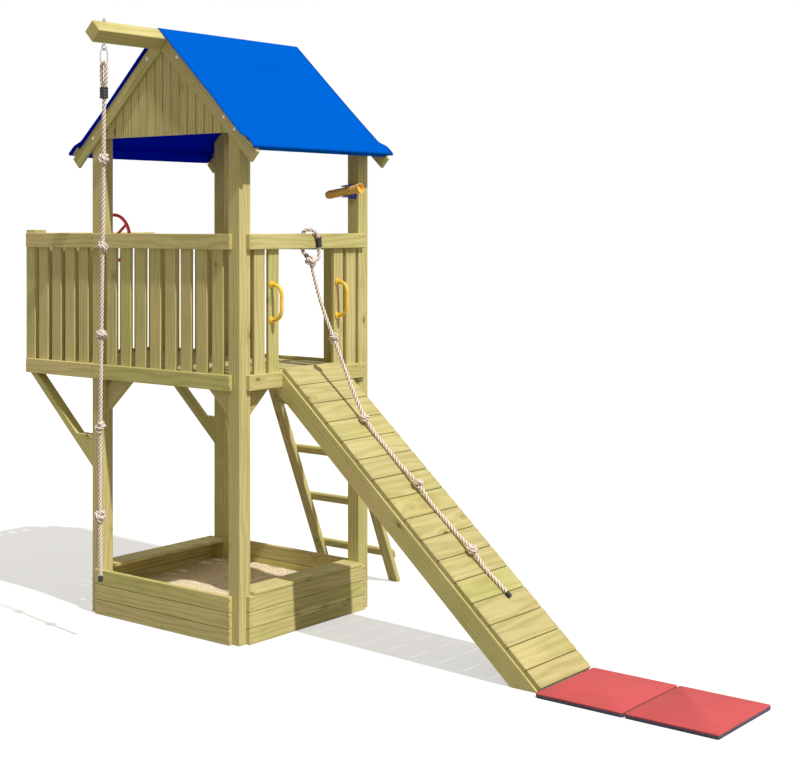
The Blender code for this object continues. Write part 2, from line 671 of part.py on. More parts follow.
def sandbox():
    for name, axis, face, outward in (
        ("sandbox_front", "X", 0, -1), ("sandbox_rear", "X", DEPTH, 1),
        ("sandbox_ramp_side", "Y", 0, 1), ("sandbox_balcony_side", "Y", -WIDTH, -1),
    ):
        start, end = (-WIDTH + RAIL_SET_IN, -RAIL_SET_IN) if axis == "X" else (RAIL_SET_IN, DEPTH - RAIL_SET_IN)
        near, far = sorted((face + outward * GAP, face + outward * BOARD))
        middle = (near + far) / 2

        def piece(part, low, high, z_low, z_high, inset, edge):
            if axis == "X":
                return board(part, (start + inset, low, z_low), (end - inset, high, z_high), edge=edge)
            return board(part, (low, start + inset, z_low), (high, end - inset, z_high), edge=edge)

        step = RAIL + SANDBOX_JOINT
        planks = [
            piece(f"{name}_{number}", near, far, number * step, number * step + RAIL, 0, EDGE)
            for number in range(SANDBOX_BOARDS)
        ]
        tongues = [
            piece(f"{name}_tongue_{number}", middle - TONGUE / 2, middle + TONGUE / 2,
                  number * step - SANDBOX_JOINT - EDGE, number * step + EDGE, 0.01, 0)
            for number in range(1, SANDBOX_BOARDS)
        ]
        side = planks.pop(0)
        side.name = name
        join(side, planks + tongues)
    for name, low, high in (
        ("seat_ramp_side", BOARD + SEAT_OVERHANG - SEAT_WIDTH, BOARD + SEAT_OVERHANG),
        ("seat_balcony_side", -WIDTH - BOARD - SEAT_OVERHANG, -WIDTH - BOARD - SEAT_OVERHANG + SEAT_WIDTH),
    ):
        board(name, (low, POST + GAP, SANDBOX_Z + GAP), (high, DEPTH - POST - GAP, SANDBOX_Z + GAP + SEAT))


def sand_fill():
    """Loose sand between the posts and the sandbox sides, with a raked, wavy surface."""
    def steps(length, count):
        step = (length - 2 * POST - 2 * GAP) / (count - 2)
        return [GAP, *[POST + GAP + number * step for number in range(count - 1)], length - GAP]

    xs, ys = steps(WIDTH, SAND_COLUMNS), steps(DEPTH, SAND_ROWS)
    shape = bmesh.new()
    bmesh.ops.create_grid(shape, x_segments=SAND_COLUMNS, y_segments=SAND_ROWS, size=0.5)
    for vertex in shape.verts:
        column = round((vertex.co.x + 0.5) * SAND_COLUMNS)
        row = round((vertex.co.y + 0.5) * SAND_ROWS)
        vertex.co = (xs[column] - WIDTH, ys[row], SAND_Z)
    corners = [face for face in shape.faces
               if abs(face.calc_center_median().x - RIDGE_X) > WIDTH / 2 - POST
               and abs(face.calc_center_median().y - DEPTH / 2) > DEPTH / 2 - POST]
    bmesh.ops.delete(shape, geom=corners, context="FACES")
    top = list(shape.verts)
    base = bmesh.ops.extrude_face_region(shape, geom=list(shape.faces))
    bmesh.ops.translate(shape, vec=(0, 0, -SAND_Z + GAP),
                        verts=[item for item in base["geom"] if isinstance(item, bmesh.types.BMVert)])
    for vertex in top:
        x, y = vertex.co.x, vertex.co.y
        vertex.co.z += SAND_SWELL * (math.sin(6.1 * x + 2.3 * y) + math.sin(9.7 * y - 3.1 * x + 1.2))
    bmesh.ops.recalc_face_normals(shape, faces=shape.faces)
    add("sand_fill", mesh_of("sand_fill", shape), SAND)


def ramp_place():
    """From measures down the ramp, across it and above its boards to the tower's own."""
    return Matrix.Translation((RAMP_TOP_X, 0, RAMP_TOP_Z)) @ Matrix.Rotation(RAMP_SLOPE, 4, "Y")


def ramp():
    """Two stringers, and the boards laid over them on a centre batten."""
    start_y, end_y = RAMP_START, RAMP_START + RAMP_WIDTH
    place = ramp_place()
    pitch = RAMP_BOARD_WIDTH + RAMP_BOARD_GAP
    count = max(1, round(RAMP_LENGTH / pitch))
    boards = []
    for number in range(count):
        end = RAMP_LENGTH if number == count - 1 else number * pitch + RAMP_BOARD_WIDTH
        boards.append(board(f"ramp_board_{number}", (number * pitch, start_y, -RAMP_BOARD), (end, end_y, 0),
                            place=place))
    middle = (start_y + end_y) / 2
    batten = board("ramp_batten", (RAMP_BATTEN_SET_IN, middle - RAMP_BATTEN_WIDTH / 2, -RAMP_BOARD - RAMP_BATTEN),
                   (RAMP_LENGTH - RAMP_BATTEN_SET_IN, middle + RAMP_BATTEN_WIDTH / 2, -RAMP_BOARD + LAP),
                   edge=0, place=place)
    deck = boards.pop(0)
    deck.name = "ramp_deck"
    join(deck, [*boards, batten])
    slope = math.tan(RAMP_SLOPE)
    head = SLAT_FACE + GAP
    top = RAMP_TOP_Z + (RAMP_TOP_X - head) * slope - (RAMP_BOARD + GAP) / math.cos(RAMP_SLOPE)
    bottom = top - STRINGER_DEPTH / math.cos(RAMP_SLOPE)
    toe = head + top / slope - STRINGER_NOSE
    outline = ((head, top), (head, bottom), (head + bottom / slope, 0), (toe, 0), (toe, STRINGER_NOSE * slope))
    for name, low in (
        ("ramp_stringer_near", start_y - STRINGER_LIP), ("ramp_stringer_far", end_y + STRINGER_LIP - STRINGER),
    ):
        prism(name, outline, "Y", low, low + STRINGER)


def ladder():
    """Two leaning side rails whose tips bear on the rear rail, with flat rungs on their outer side."""
    lean = math.tan(LADDER_LEAN)
    seat = DEPTH + BOARD + GAP
    foot = seat + LOW_RAIL_Z * lean
    depth = LADDER_RAIL / math.cos(LADDER_LEAN)
    tip = LOW_RAIL_TOP - LADDER_TOP_DROP
    outline = ((foot, 0), (foot + depth, 0), (foot + depth - tip * lean, tip), (seat, tip), (seat, LOW_RAIL_Z))
    middle_x = RIDGE_X + LADDER_SHIFT
    low, high = middle_x - LADDER_WIDTH / 2, middle_x + LADDER_WIDTH / 2
    prism("ladder_rail_left", outline, "X", low, low + LADDER_RAIL_WIDTH)
    prism("ladder_rail_right", outline, "X", high - LADDER_RAIL_WIDTH, high)
    up = Vector((-math.sin(LADDER_LEAN), math.cos(LADDER_LEAN)))
    out = Vector((math.cos(LADDER_LEAN), math.sin(LADDER_LEAN)))
    for number in range(RUNGS):
        z = RUNG_FIRST_Z + number * RUNG_STEP
        middle = Vector((foot + depth - z * lean, z)) + out * GAP
        corners = [middle + up * sign * RUNG_HEIGHT / 2 + out * RUNG * side
                   for sign, side in ((-1, 0), (-1, 1), (1, 1), (1, 0))]
        prism(f"ladder_rung_{number + 1}", corners, "X", low, high, edge=RUNG_EDGE)


def braces():
    """Struts under the balcony with a block at their heel, and short struts under the lower rails."""
    heel = LOW_RAIL_Z - BALCONY_BRACE_FALL
    run = BALCONY - BALCONY_BRACE_SET_IN
    rise = LOW_RAIL_Z - GAP - heel
    slope = math.atan2(rise, run)
    across = BALCONY_BRACE / math.sin(slope)
    step_z = heel + BALCONY_BRACE_STEP
    step_x = -WIDTH - GAP - (step_z - heel) / math.tan(slope) + across
    outline = (
        (-WIDTH - GAP, heel), (-WIDTH - GAP, step_z), (step_x, step_z),
        (-WIDTH - GAP - run + across, heel + rise), (-WIDTH - GAP - run, heel + rise),
    )
    for name, low in (("balcony_brace_front", GAP), ("balcony_brace_rear", DEPTH - BALCONY_BRACE_DEPTH - GAP)):
        prism(name, outline, "Y", low, low + BALCONY_BRACE_DEPTH)
    slope = math.atan2(CORNER_BRACE_FALL, CORNER_BRACE_REACH)
    drop = CORNER_BRACE_WIDTH / math.cos(slope)
    reach = CORNER_BRACE_WIDTH / math.sin(slope)
    top = LOW_RAIL_Z + JOIST_LIFT - GAP

    def strut(name, corner, direction, axis, low):
        shape = ((corner, top - CORNER_BRACE_FALL), (corner, min(top, top - CORNER_BRACE_FALL + drop)),
                 (corner + direction * max(CORNER_BRACE_REACH - reach, 0), top),
                 (corner + direction * CORNER_BRACE_REACH, top))
        prism(name, shape, axis, low, low + CORNER_BRACE)

    strut("corner_brace_front_left", -INNER + GAP, 1, "Y", CORNER_BRACE_SET_BACK)
    strut("corner_brace_front_right", -POST - GAP, -1, "Y", CORNER_BRACE_SET_BACK)
    strut("corner_brace_ramp_side", POST + GAP, 1, "X", -POST)


def steering_wheel():
    """A three-spoked wheel that turns on a pin fixed to the back of the front left post."""
    centre = Vector((-WIDTH + POST / 2, POST + WHEEL_STAND + WHEEL_HUB_LENGTH / 2, WHEEL_Z))
    half = WHEEL_HUB_LENGTH / 2
    ahead = Vector((0, 1, 0))
    ring = [centre + Vector((math.cos(turn), 0, math.sin(turn))) * WHEEL_RADIUS
            for turn in (math.tau * number / 32 for number in range(32))]
    wheel = tube("steering_wheel", ring, WHEEL_TUBE, RED_PLASTIC, closed_ring=True)
    pieces = [cylinder("wheel_hub", centre - ahead * half, centre + ahead * half, WHEEL_HUB, RED_PLASTIC, 20)]
    for number in range(SPOKES):
        turn = WHEEL_TURN + math.tau * number / SPOKES
        arm = Vector((math.cos(turn), 0, math.sin(turn)))
        pieces.append(cylinder(f"spoke_{number}", centre + arm * WHEEL_HUB * 0.6, centre + arm * WHEEL_RADIUS,
                               SPOKE, RED_PLASTIC, 10))
    join(wheel, pieces)
    cut(wheel, [cylinder("axle_bore", centre - ahead * WHEEL_HUB, centre + ahead * WHEEL_HUB,
                         WHEEL_AXLE + GAP, RED_PLASTIC, 20)])
    carry(wheel, centre)
    back, front = centre - ahead * (half + RUNNING_GAP), centre + ahead * (half + RUNNING_GAP)
    flange = Vector((centre.x, POST + GAP, centre.z))
    axle = cylinder("wheel_axle", flange, back, 0.018, STEEL, 20)
    join(axle, [cylinder("axle_pin", back - ahead * 0.005, front + ahead * 0.005, WHEEL_AXLE, STEEL, 20),
                cylinder("axle_cap", front, front + ahead * 0.006, 0.014, STEEL, 20)])


def telescope():
    """A toy telescope in a yoke: the yoke tilts on the post's bracket, and the tube turns in the yoke."""
    face = DEPTH - POST - GAP
    web = SCOPE_RADIUS + YOKE_BACK_ROOM
    seat = face - SCOPE_PLATE - SCOPE_BOSS_LENGTH
    pivot = Vector((-POST / 2, seat - RUNNING_GAP - YOKE - web, SCOPE_Z))
    bracket = board("telescope_bracket", (pivot.x - 0.03, face - SCOPE_PLATE, SCOPE_Z - 0.045),
                    (pivot.x + 0.03, face, SCOPE_Z + 0.045), BLUE_PLASTIC, FINE_EDGE)
    boss = cylinder("bracket_boss", (pivot.x, face - 0.001, SCOPE_Z), (pivot.x, seat, SCOPE_Z), SCOPE_BOSS,
                    BLUE_PLASTIC, 20)
    join(bracket, [boss])
    cut(bracket, [cylinder("pivot_bore", (pivot.x, seat - 0.01, SCOPE_Z), (pivot.x, face - 0.004, SCOPE_Z),
                           SCOPE_PIN + GAP, BLUE_PLASTIC)])
    tilt = Matrix.Translation(pivot) @ Matrix.Rotation(-SCOPE_TILT, 4, "Y")
    inner, half = SCOPE_RADIUS + YOKE_ROOM, YOKE_WIDTH / 2
    yoke = board("telescope_yoke", (-half, web, -inner - YOKE), (half, web + YOKE, inner + YOKE), BLUE_PLASTIC,
                 FINE_EDGE, tilt)
    plates = [
        board(f"yoke_plate_{name}", (-half, -YOKE_REACH, low), (half, web + LAP + FINE_EDGE, low + YOKE),
              BLUE_PLASTIC, 0, tilt)
        for name, low in (("low", -inner - YOKE), ("high", inner))
    ]
    pin = cylinder("pivot_pin", pivot + Vector((0, web + YOKE - 0.001, 0)), (pivot.x, face - 0.006, SCOPE_Z),
                   SCOPE_PIN, BLUE_PLASTIC)
    join(yoke, [*plates, pin])
    upright = tilt.to_3x3() @ Vector((0, 0, 1))
    cut(yoke, [cylinder("trunnion_bore", pivot - upright * 0.06, pivot + upright * 0.06, SCOPE_PIN + GAP,
                        BLUE_PLASTIC)])
    carry(yoke, pivot)
    profile = (
        (0, SCOPE_FRONT - 0.03), (SCOPE_RADIUS - 0.004, SCOPE_FRONT - 0.03), (SCOPE_BELL - 0.004, SCOPE_FRONT),
        (SCOPE_BELL, SCOPE_FRONT), (SCOPE_BELL, SCOPE_FRONT - 0.008), (SCOPE_RADIUS, SCOPE_FRONT - 0.05),
        (SCOPE_RADIUS, -SCOPE_REAR + 0.03), (SCOPE_RADIUS - 0.003, -SCOPE_REAR + 0.006),
        (SCOPE_RADIUS - 0.009, -SCOPE_REAR), (0, -SCOPE_REAR),
    )
    shape = bmesh.new()
    points = [shape.verts.new((radius, 0, along)) for radius, along in profile]
    for first, second in zip(points, points[1:]):
        shape.edges.new((first, second))
    along_tube = Matrix.Rotation(math.pi / 2, 4, "Y")
    tube_object = add("telescope_tube", mesh_of("telescope_tube", shape), ORANGE_PLASTIC, tilt @ along_tube)
    turned = tube_object.modifiers.new("turned", "SCREW")
    turned.axis = "Z"
    turned.steps = turned.render_steps = 24
    turned.use_merge_vertices = True
    turned.merge_threshold = 0.00001
    tip = inner + YOKE
    join(tube_object, [cylinder("trunnions", pivot - upright * tip, pivot + upright * tip, SCOPE_PIN,
                                ORANGE_PLASTIC)])
    cut(tube_object, [cylinder("objective_bore", pivot + tilt.to_3x3() @ Vector((SCOPE_FRONT - 0.07, 0, 0)),
                               pivot + tilt.to_3x3() @ Vector((SCOPE_FRONT - 0.02, 0, 0)), 0.015,
                               ORANGE_PLASTIC, 20)])


def handles():
    for name, y in (
        ("handle_near", POST + 2 * DOOR_SLAT_GAP + SLAT_WIDTH + 0.025),
        ("handle_far", DEPTH - POST - 2 * DOOR_SLAT_GAP - 2 * SLAT_WIDTH + 0.03),
    ):
        seat, reach, top = SLAT_FACE + GAP, HANDLE_REACH, HANDLE_Z + HANDLE_SPAN
        foot = seat + HANDLE_FOOT_THICKNESS / 2
        route = ((foot, y, HANDLE_Z), (reach * 0.45, y, HANDLE_Z + 0.003), (reach * 0.8, y, HANDLE_Z + 0.016),
                 (reach, y, HANDLE_Z + 0.05), (reach, y, HANDLE_Z + HANDLE_SPAN / 2),
                 (reach, y, top - 0.05), (reach * 0.8, y, top - 0.016), (reach * 0.45, y, top - 0.003),
                 (foot, y, top))
        grip = tube(name, smooth(route, 3), HANDLE_TUBE, YELLOW_PLASTIC)
        feet = [cylinder(f"{name}_foot_{number}", (seat, y, z), (seat + HANDLE_FOOT_THICKNESS, y, z), HANDLE_FOOT,
                         YELLOW_PLASTIC, 16) for number, z in enumerate((HANDLE_Z, top))]
        join(grip, feet)


def oval(half_width, height, top, across, steps=24):
    """Points of a long ring that hangs from its top, in the plane of Z and the direction across."""
    straight = height / 2 - half_width
    found = []
    for number in range(steps):
        turn = math.tau * (number + 0.5) / steps
        z = half_width * math.sin(turn) + math.copysign(straight, math.sin(turn))
        found.append(Vector(across) * half_width * math.cos(turn) + Vector((0, 0, z + top - height / 2)))
    return found


def tackle():
    """Eye bolt through the beam, snap hook in its eye with a sprung gate, and the climbing rope in the hook."""
    beam_low, beam_top = BEAM_Z - BEAM_HALF, BEAM_Z + BEAM_HALF
    base = Vector((RIDGE_X, TACKLE_Y, 0))
    eye_z = beam_low - EYE - EYE_WIRE - GAP
    ring = [base + Vector((EYE * math.cos(turn), 0, eye_z + EYE * math.sin(turn)))
            for turn in (math.tau * number / 20 for number in range(20))]
    bolt = cylinder("eye_bolt", base + Vector((0, 0, beam_low - 0.008)), base + Vector((0, 0, beam_top + BOLT_RISE)),
                    BOLT, STEEL)
    join(bolt, [
        tube("bolt_eye", ring, EYE_WIRE, STEEL, closed_ring=True),
        cylinder("bolt_nut", base + Vector((0, 0, beam_top + GAP)), base + Vector((0, 0, beam_top + NUT_HEIGHT)),
                 NUT, STEEL, 6),
    ])
    hook_top = eye_z - EYE + EYE_WIRE + HOOK_WIRE + GAP
    hook_pivot = base + Vector((0, 0, hook_top))
    hook_ring = [base + point for point in oval(HOOK_HALF_WIDTH, HOOK_HEIGHT, hook_top, (0, 1, 0))]
    hook = tube("snap_hook", hook_ring, HOOK_WIRE, STEEL, closed_ring=True)
    gate_wire = HOOK_WIRE * 0.9
    gate_start = hook_pivot + Vector((0, -HOOK_HALF_WIDTH, -(HOOK_HEIGHT + GATE_LENGTH) / 2 + gate_wire))
    gate_end = gate_start + Vector((0, 0, GATE_LENGTH - gate_wire))
    cut(hook, [board("gate_opening", gate_start - Vector((0.01, 0.01, gate_wire + GAP)),
                     gate_end + Vector((0.01, 0.0125, GATE_SLACK)), STEEL, 0)])
    carry(hook, hook_pivot)
    gate = cylinder("hook_gate", gate_start, gate_end, gate_wire, STEEL, 12)
    join(gate, [ball("gate_knuckle", gate_start, gate_wire, STEEL)])
    carry(gate, gate_start)
    loop_top = hook_top - HOOK_HEIGHT + HOOK_WIRE + LOOP_ROPE + GAP
    rope_pivot = base + Vector((0, 0, loop_top))
    loop_ring = [base + point for point in oval(LOOP_HALF_WIDTH, LOOP_HEIGHT, loop_top, (1, 0, 0), 28)]
    route = smooth([(x, TACKLE_Y, z) for x, z in CLIMB_ROUTE], 3)
    rope = tube("climbing_rope", route, ROPE, ROPE_FIBRE)
    loop_low = loop_top - LOOP_HEIGHT
    pieces = [
        tube("rope_loop", loop_ring, LOOP_ROPE, ROPE_FIBRE, closed_ring=True),
        cylinder("rope_binding", base + Vector((0, 0, loop_low + BINDING_LAP)),
                 base + Vector((0, 0, loop_low + BINDING_LAP - BINDING_HEIGHT)), BINDING, ROPE_FIBRE, 16),
    ]
    for number, z in enumerate(ROPE_KNOTS_Z):
        x = next(x for x, height in CLIMB_ROUTE if height <= z + 0.001)
        pieces.append(ball(f"rope_knot_{number}", (x, TACKLE_Y, z), KNOT, ROPE_FIBRE, (1, 1, 0.95)))
    join(rope, pieces)
    carry(rope, rope_pivot)


def ramp_rope():
    """The rope tied round the upper rail, with its knots, which lies on the ramp."""
    underside = Vector((0, 0, TOP_RAIL_Z))
    place = ramp_place()
    laid = [place @ Vector(point) for point in RAMP_ROPE_ROUTE]
    tied = [Vector(point) + underside for point in RAIL_TIE_ROUTE]
    rope = tube("ramp_rope", smooth(tied + laid, 2), ROPE * 0.96, ROPE_FIBRE)
    knots = [ball("tie_knot", Vector(TIE_KNOT) + underside, TIE_KNOT_RADIUS, ROPE_FIBRE, (0.75, 1, 0.75))]
    for number, index in enumerate(RAMP_ROPE_KNOTS):
        knots.append(ball(f"ramp_knot_{number}", laid[index], RAMP_KNOT, ROPE_FIBRE))
    join(rope, knots)


def mats():
    for number in range(2):
        x = MAT_START_X + number * MAT_STEP
        board(f"mat_{number + 1}", (x, MAT_START_Y, 0), (x + MAT_LENGTH, MAT_START_Y + MAT_WIDTH, MAT), RED_RUBBER)


tall_posts()
balcony_posts()
railings()
low_rails()
floor()
rafters()
gables()
ridge_beam()
roof_cover()
sandbox()
sand_fill()
ramp()
ladder()
braces()
steering_wheel()
telescope()
handles()
tackle()
ramp_rope()
mats()
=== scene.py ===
"""Looks of the wooden play tower: camera, light, ropes, roof sheet, sand, mats and materials."""

import math

import bmesh
import bpy
from mathutils import Matrix, Vector, noise


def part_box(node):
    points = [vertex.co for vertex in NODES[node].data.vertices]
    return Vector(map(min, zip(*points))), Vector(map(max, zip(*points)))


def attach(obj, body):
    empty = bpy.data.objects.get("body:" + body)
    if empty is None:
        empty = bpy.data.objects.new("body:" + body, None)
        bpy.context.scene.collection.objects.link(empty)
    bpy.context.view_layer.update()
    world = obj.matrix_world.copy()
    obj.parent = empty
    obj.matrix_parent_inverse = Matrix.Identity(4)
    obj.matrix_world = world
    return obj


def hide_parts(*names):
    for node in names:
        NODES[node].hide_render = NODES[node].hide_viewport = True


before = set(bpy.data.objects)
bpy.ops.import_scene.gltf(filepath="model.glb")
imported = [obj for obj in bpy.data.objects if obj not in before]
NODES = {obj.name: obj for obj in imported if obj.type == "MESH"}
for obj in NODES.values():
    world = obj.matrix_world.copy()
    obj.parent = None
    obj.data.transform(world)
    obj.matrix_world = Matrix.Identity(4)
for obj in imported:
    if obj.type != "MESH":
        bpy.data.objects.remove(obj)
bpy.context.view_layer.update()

# The tower's measures. Places are written from its front right corner.
CORNER = Vector((0.045, -0.045, 0))
WIDTH, DEPTH, POST, BOARD, SLAT, GAP = 1.27, 1.14, 0.09, 0.028, 0.088, 0.0003
BALCONY = 0.65
RIDGE_X = -WIDTH / 2
PITCH, ROOF_APEX_Z = math.radians(42.8), 3.539
LOW_RAIL_Z, TOP_RAIL_Z, REAR_RAIL_DROP = 1.445, 2.25, 0.018
TACKLE_Y = -0.45
SANDBOX_PITCH, SANDBOX_BOARDS, SANDBOX_GAP = 0.093, 3, 0.003
GABLE_PITCH, FLOOR_MARGIN, FLOOR_BOARDS = 0.07, 0.0163, 11
RAMP_TOP, RAMP_SLOPE, RAMP_LENGTH = Vector((0.03, 0, 1.56)), math.radians(40.67), 2.351
RAMP_PITCH, RAMP_GAP, RAMP_BOARDS = 0.149, 0.004, 16
RAMP = Matrix.Translation(RAMP_TOP + CORNER) @ Matrix.Rotation(RAMP_SLOPE, 4, "Y")
LADDER_LEAN, LADDER_X = math.radians(22.6), -0.605
RUNGS, RUNG_FIRST_Z, RUNG_STEP = 4, 0.19, 0.341
FRONT, RIGHT, BACK, LEFT = (0, -1, 0), (1, 0, 0), (0, 1, 0), (-1, 0, 0)


# ---- camera, light and floor ----

LENS, SENSOR, SHIFT_Y, VIEW_END = 68.09, 36, -0.193, 200
CAMERA_PLACE, CAMERA_TURN = (6.089, -6.201, 2.393), math.radians(38.42)
SKY_COLOUR, SKY_STRENGTH = (1, 0.91, 0.74), 0.42
SUN_WAY, SUN_STRENGTH = (-1, 0.17, -1.3), 3.3
SUN_SPREAD, SUN_COLOUR = math.radians(1.2), (1, 0.985, 0.94)
FLOOR_REACH, FLOOR_Z = 60, -0.0006
FLOOR_GLOW, FLOOR_PALE, FLOOR_BOUNCE = 0.55, (0.5, 0.5, 0.5), (0.3, 0.29, 0.27)


def camera():
    data = bpy.data.cameras.new("camera")
    data.lens = LENS
    data.sensor_width = SENSOR
    data.sensor_fit = "HORIZONTAL"
    data.shift_y = SHIFT_Y
    data.clip_end = VIEW_END
    obj = bpy.data.objects.new("camera", data)
    obj.location = CAMERA_PLACE
    obj.rotation_euler = (math.pi / 2, 0, CAMERA_TURN)
    bpy.context.scene.collection.objects.link(obj)
    bpy.context.scene.camera = obj


def add_node(tree, kind, *sources, **values):
    """A new node, with the sources on its first inputs and the values on the inputs so named."""
    made = tree.nodes.new("ShaderNode" + kind)
    for socket, source in zip(made.inputs, sources):
        tree.links.new(source, socket)
    for name, value in values.items():
        made.inputs[name].default_value = value
    return made


def shown_or_reached(tree):
    """1 for rays that look at the backdrop, also in a mirror or through glass, else 0."""
    path = add_node(tree, "LightPath").outputs
    first = add_node(tree, "Math", path["Is Camera Ray"], path["Is Glossy Ray"])
    second = add_node(tree, "Math", first.outputs[0], path["Is Transmission Ray"])
    first.operation = second.operation = "MAXIMUM"
    return second.outputs[0]


def lights():
    """A warm, dim sky that looks white, and the sun."""
    scene = bpy.context.scene
    scene.view_settings.view_transform = "Standard"
    scene.world = bpy.data.worlds.new("studio")
    scene.world.use_nodes = True
    tree = scene.world.node_tree
    tree.nodes.clear()
    sky = add_node(tree, "Background", Color=(*SKY_COLOUR, 1), Strength=SKY_STRENGTH)
    white = add_node(tree, "Background", Color=(1, 1, 1, 1), Strength=1)
    mix = add_node(tree, "MixShader", shown_or_reached(tree), sky.outputs[0], white.outputs[0])
    add_node(tree, "OutputWorld", mix.outputs[0])
    sun = bpy.data.lights.new("key", "SUN")
    sun.energy, sun.angle, sun.color = SUN_STRENGTH, SUN_SPREAD, SUN_COLOUR
    lamp = bpy.data.objects.new("key", sun)
    lamp.rotation_euler = Vector(SUN_WAY).to_track_quat("-Z", "Y").to_euler()
    scene.collection.objects.link(lamp)


def ground():
    """A white floor that shows a light grey shadow and sends up little light."""
    far, z = FLOOR_REACH, FLOOR_Z
    mesh = bpy.data.meshes.new("floor")
    mesh.from_pydata([(-far, -far, z), (far, -far, z), (far, far, z), (-far, far, z)], [],
                     [(0, 1, 2, 3)])
    floor = bpy.data.objects.new("floor", mesh)
    bpy.context.scene.collection.objects.link(floor)
    material = bpy.data.materials.new("pale_floor")
    material.use_nodes = True
    tree = material.node_tree
    tree.nodes.clear()
    glow = add_node(tree, "Emission", Color=(1, 1, 1, 1), Strength=FLOOR_GLOW)
    pale = add_node(tree, "BsdfDiffuse", Color=(*FLOOR_PALE, 1))
    bounce = add_node(tree, "BsdfDiffuse", Color=(*FLOOR_BOUNCE, 1))
    seen = add_node(tree, "AddShader", glow.outputs[0], pale.outputs[0])
    mix = add_node(tree, "MixShader", shown_or_reached(tree), bounce.outputs[0], seen.outputs[0])
    add_node(tree, "OutputMaterial", mix.outputs[0])
    mesh.materials.append(material)


# ---- shader building ----

class Shader:
    """A material's node tree, with short calls for the nodes that the finishes share."""

    def __init__(self, name, roughness, metallic=0.0):
        self.material = bpy.data.materials.new(name)
        self.material.use_nodes = True
        self.tree = self.material.node_tree
        self.surface = self.tree.nodes["Principled BSDF"]
        self.surface.inputs["Roughness"].default_value = roughness
        self.surface.inputs["Metallic"].default_value = metallic
        self.coords = self.tree.nodes.new("ShaderNodeTexCoord").outputs["Object"]

    def put(self, socket, value):
        if isinstance(value, bpy.types.NodeSocket):
            self.tree.links.new(value, socket)
        else:
            socket.default_value = value

    def node(self, kind, inputs, **settings):
        """A new node with these settings, and inputs by their name or number."""
        made = self.tree.nodes.new("ShaderNode" + kind)
        for name, value in settings.items():
            setattr(made, name, value)
        for key, value in inputs.items():
            self.put(made.inputs[key], value)
        return made

    def math(self, operation, *values):
        return self.node("Math", dict(enumerate(values)), operation=operation).outputs[0]

    def times(self, first, second):
        return self.math("MULTIPLY", first, second)

    def plus(self, first, second):
        return self.math("ADD", first, second)

    def minus(self, first, second):
        return self.math("SUBTRACT", first, second)

    def scaled(self, value, by, offset):
        return self.math("MULTIPLY_ADD", value, by, offset)

    def vector(self, operation, first, second):
        inputs = {0: first, "Scale" if operation == "SCALE" else 1: second}
        return self.node("VectorMath", inputs, operation=operation).outputs[0]

    def dot(self, direction):
        """How far a point lies in a direction."""
        inputs = {0: self.coords, 1: direction}
        return self.node("VectorMath", inputs, operation="DOT_PRODUCT").outputs["Value"]

    def join(self, x, y, z):
        return self.node("CombineXYZ", {0: x, 1: y, 2: z}).outputs[0]

    def split(self, vector):
        return tuple(self.node("SeparateXYZ", {0: vector}).outputs)

    def noise(self, vector, scale, detail=3.0, roughness=0.55, distortion=0.0):
        inputs = {"Vector": vector, "Scale": scale, "Detail": detail, "Roughness": roughness,
                  "Distortion": distortion}
        return self.node("TexNoise", inputs).outputs["Fac"]

    def cells(self, vector, scale):
        """The distance to the nearest of scattered points, and that point's random colour."""
        found = self.node("TexVoronoi", {"Vector": vector, "Scale": scale}).outputs
        return found["Distance"], found["Color"]

    def chance(self, value):
        """A random number for each value."""
        return self.node("TexWhiteNoise", {"W": value}, noise_dimensions="1D").outputs["Value"]

    def ramp(self, value, low, high, start=0.0, end=1.0):
        """The value taken smoothly from low..high to start..end."""
        inputs = {"Value": value, "From Min": low, "From Max": high, "To Min": start,
                  "To Max": end}
        return self.node("MapRange", inputs, interpolation_type="SMOOTHSTEP").outputs["Result"]

    def blend(self, factor, first, second, kind="RGBA"):
        """The mix of two colours or vectors."""
        made = self.node("Mix", {"Factor": factor}, data_type=kind)
        for name, value in (("A", first), ("B", second)):
            socket = next(s for s in made.inputs if s.name == name and s.type == kind)
            self.put(socket, value if isinstance(value, bpy.types.NodeSocket) else (*value, 1))
        return next(s for s in made.outputs if s.type == kind)

    def attribute(self, name, output="Fac"):
        return self.node("Attribute", {}, attribute_name=name).outputs[output]

    def bump(self, height, strength, distance):
        inputs = {"Strength": strength, "Distance": distance, "Height": height}
        self.put(self.surface.inputs["Normal"], self.node("Bump", inputs).outputs["Normal"])

    def end(self, colour, roughness=None):
        self.put(self.surface.inputs["Base Color"], colour)
        if roughness is not None:
            self.put(self.surface.inputs["Roughness"], roughness)
        return self.material


AXES = {"X": ((1, 0, 0), (0, 1, 0), (0, 0, 1)), "Y": ((0, 1, 0), (1, 0, 0), (0, 0, 1)),
        "Z": ((0, 0, 1), (1, 0, 0), (0, 1, 0))}
RAIL_SEED = 37.0


def leaning(x, z, flat="Y"):
    """Grain axes of a sloping board: along it, upright to it, and across it."""
    length = math.hypot(x, z)
    x, z = x / length, z / length
    if flat == "Y":
        return (x, 0, z), (z, 0, -x), (0, 1, 0)
    return (0, x, z), (0, z, -x), (1, 0, 0)


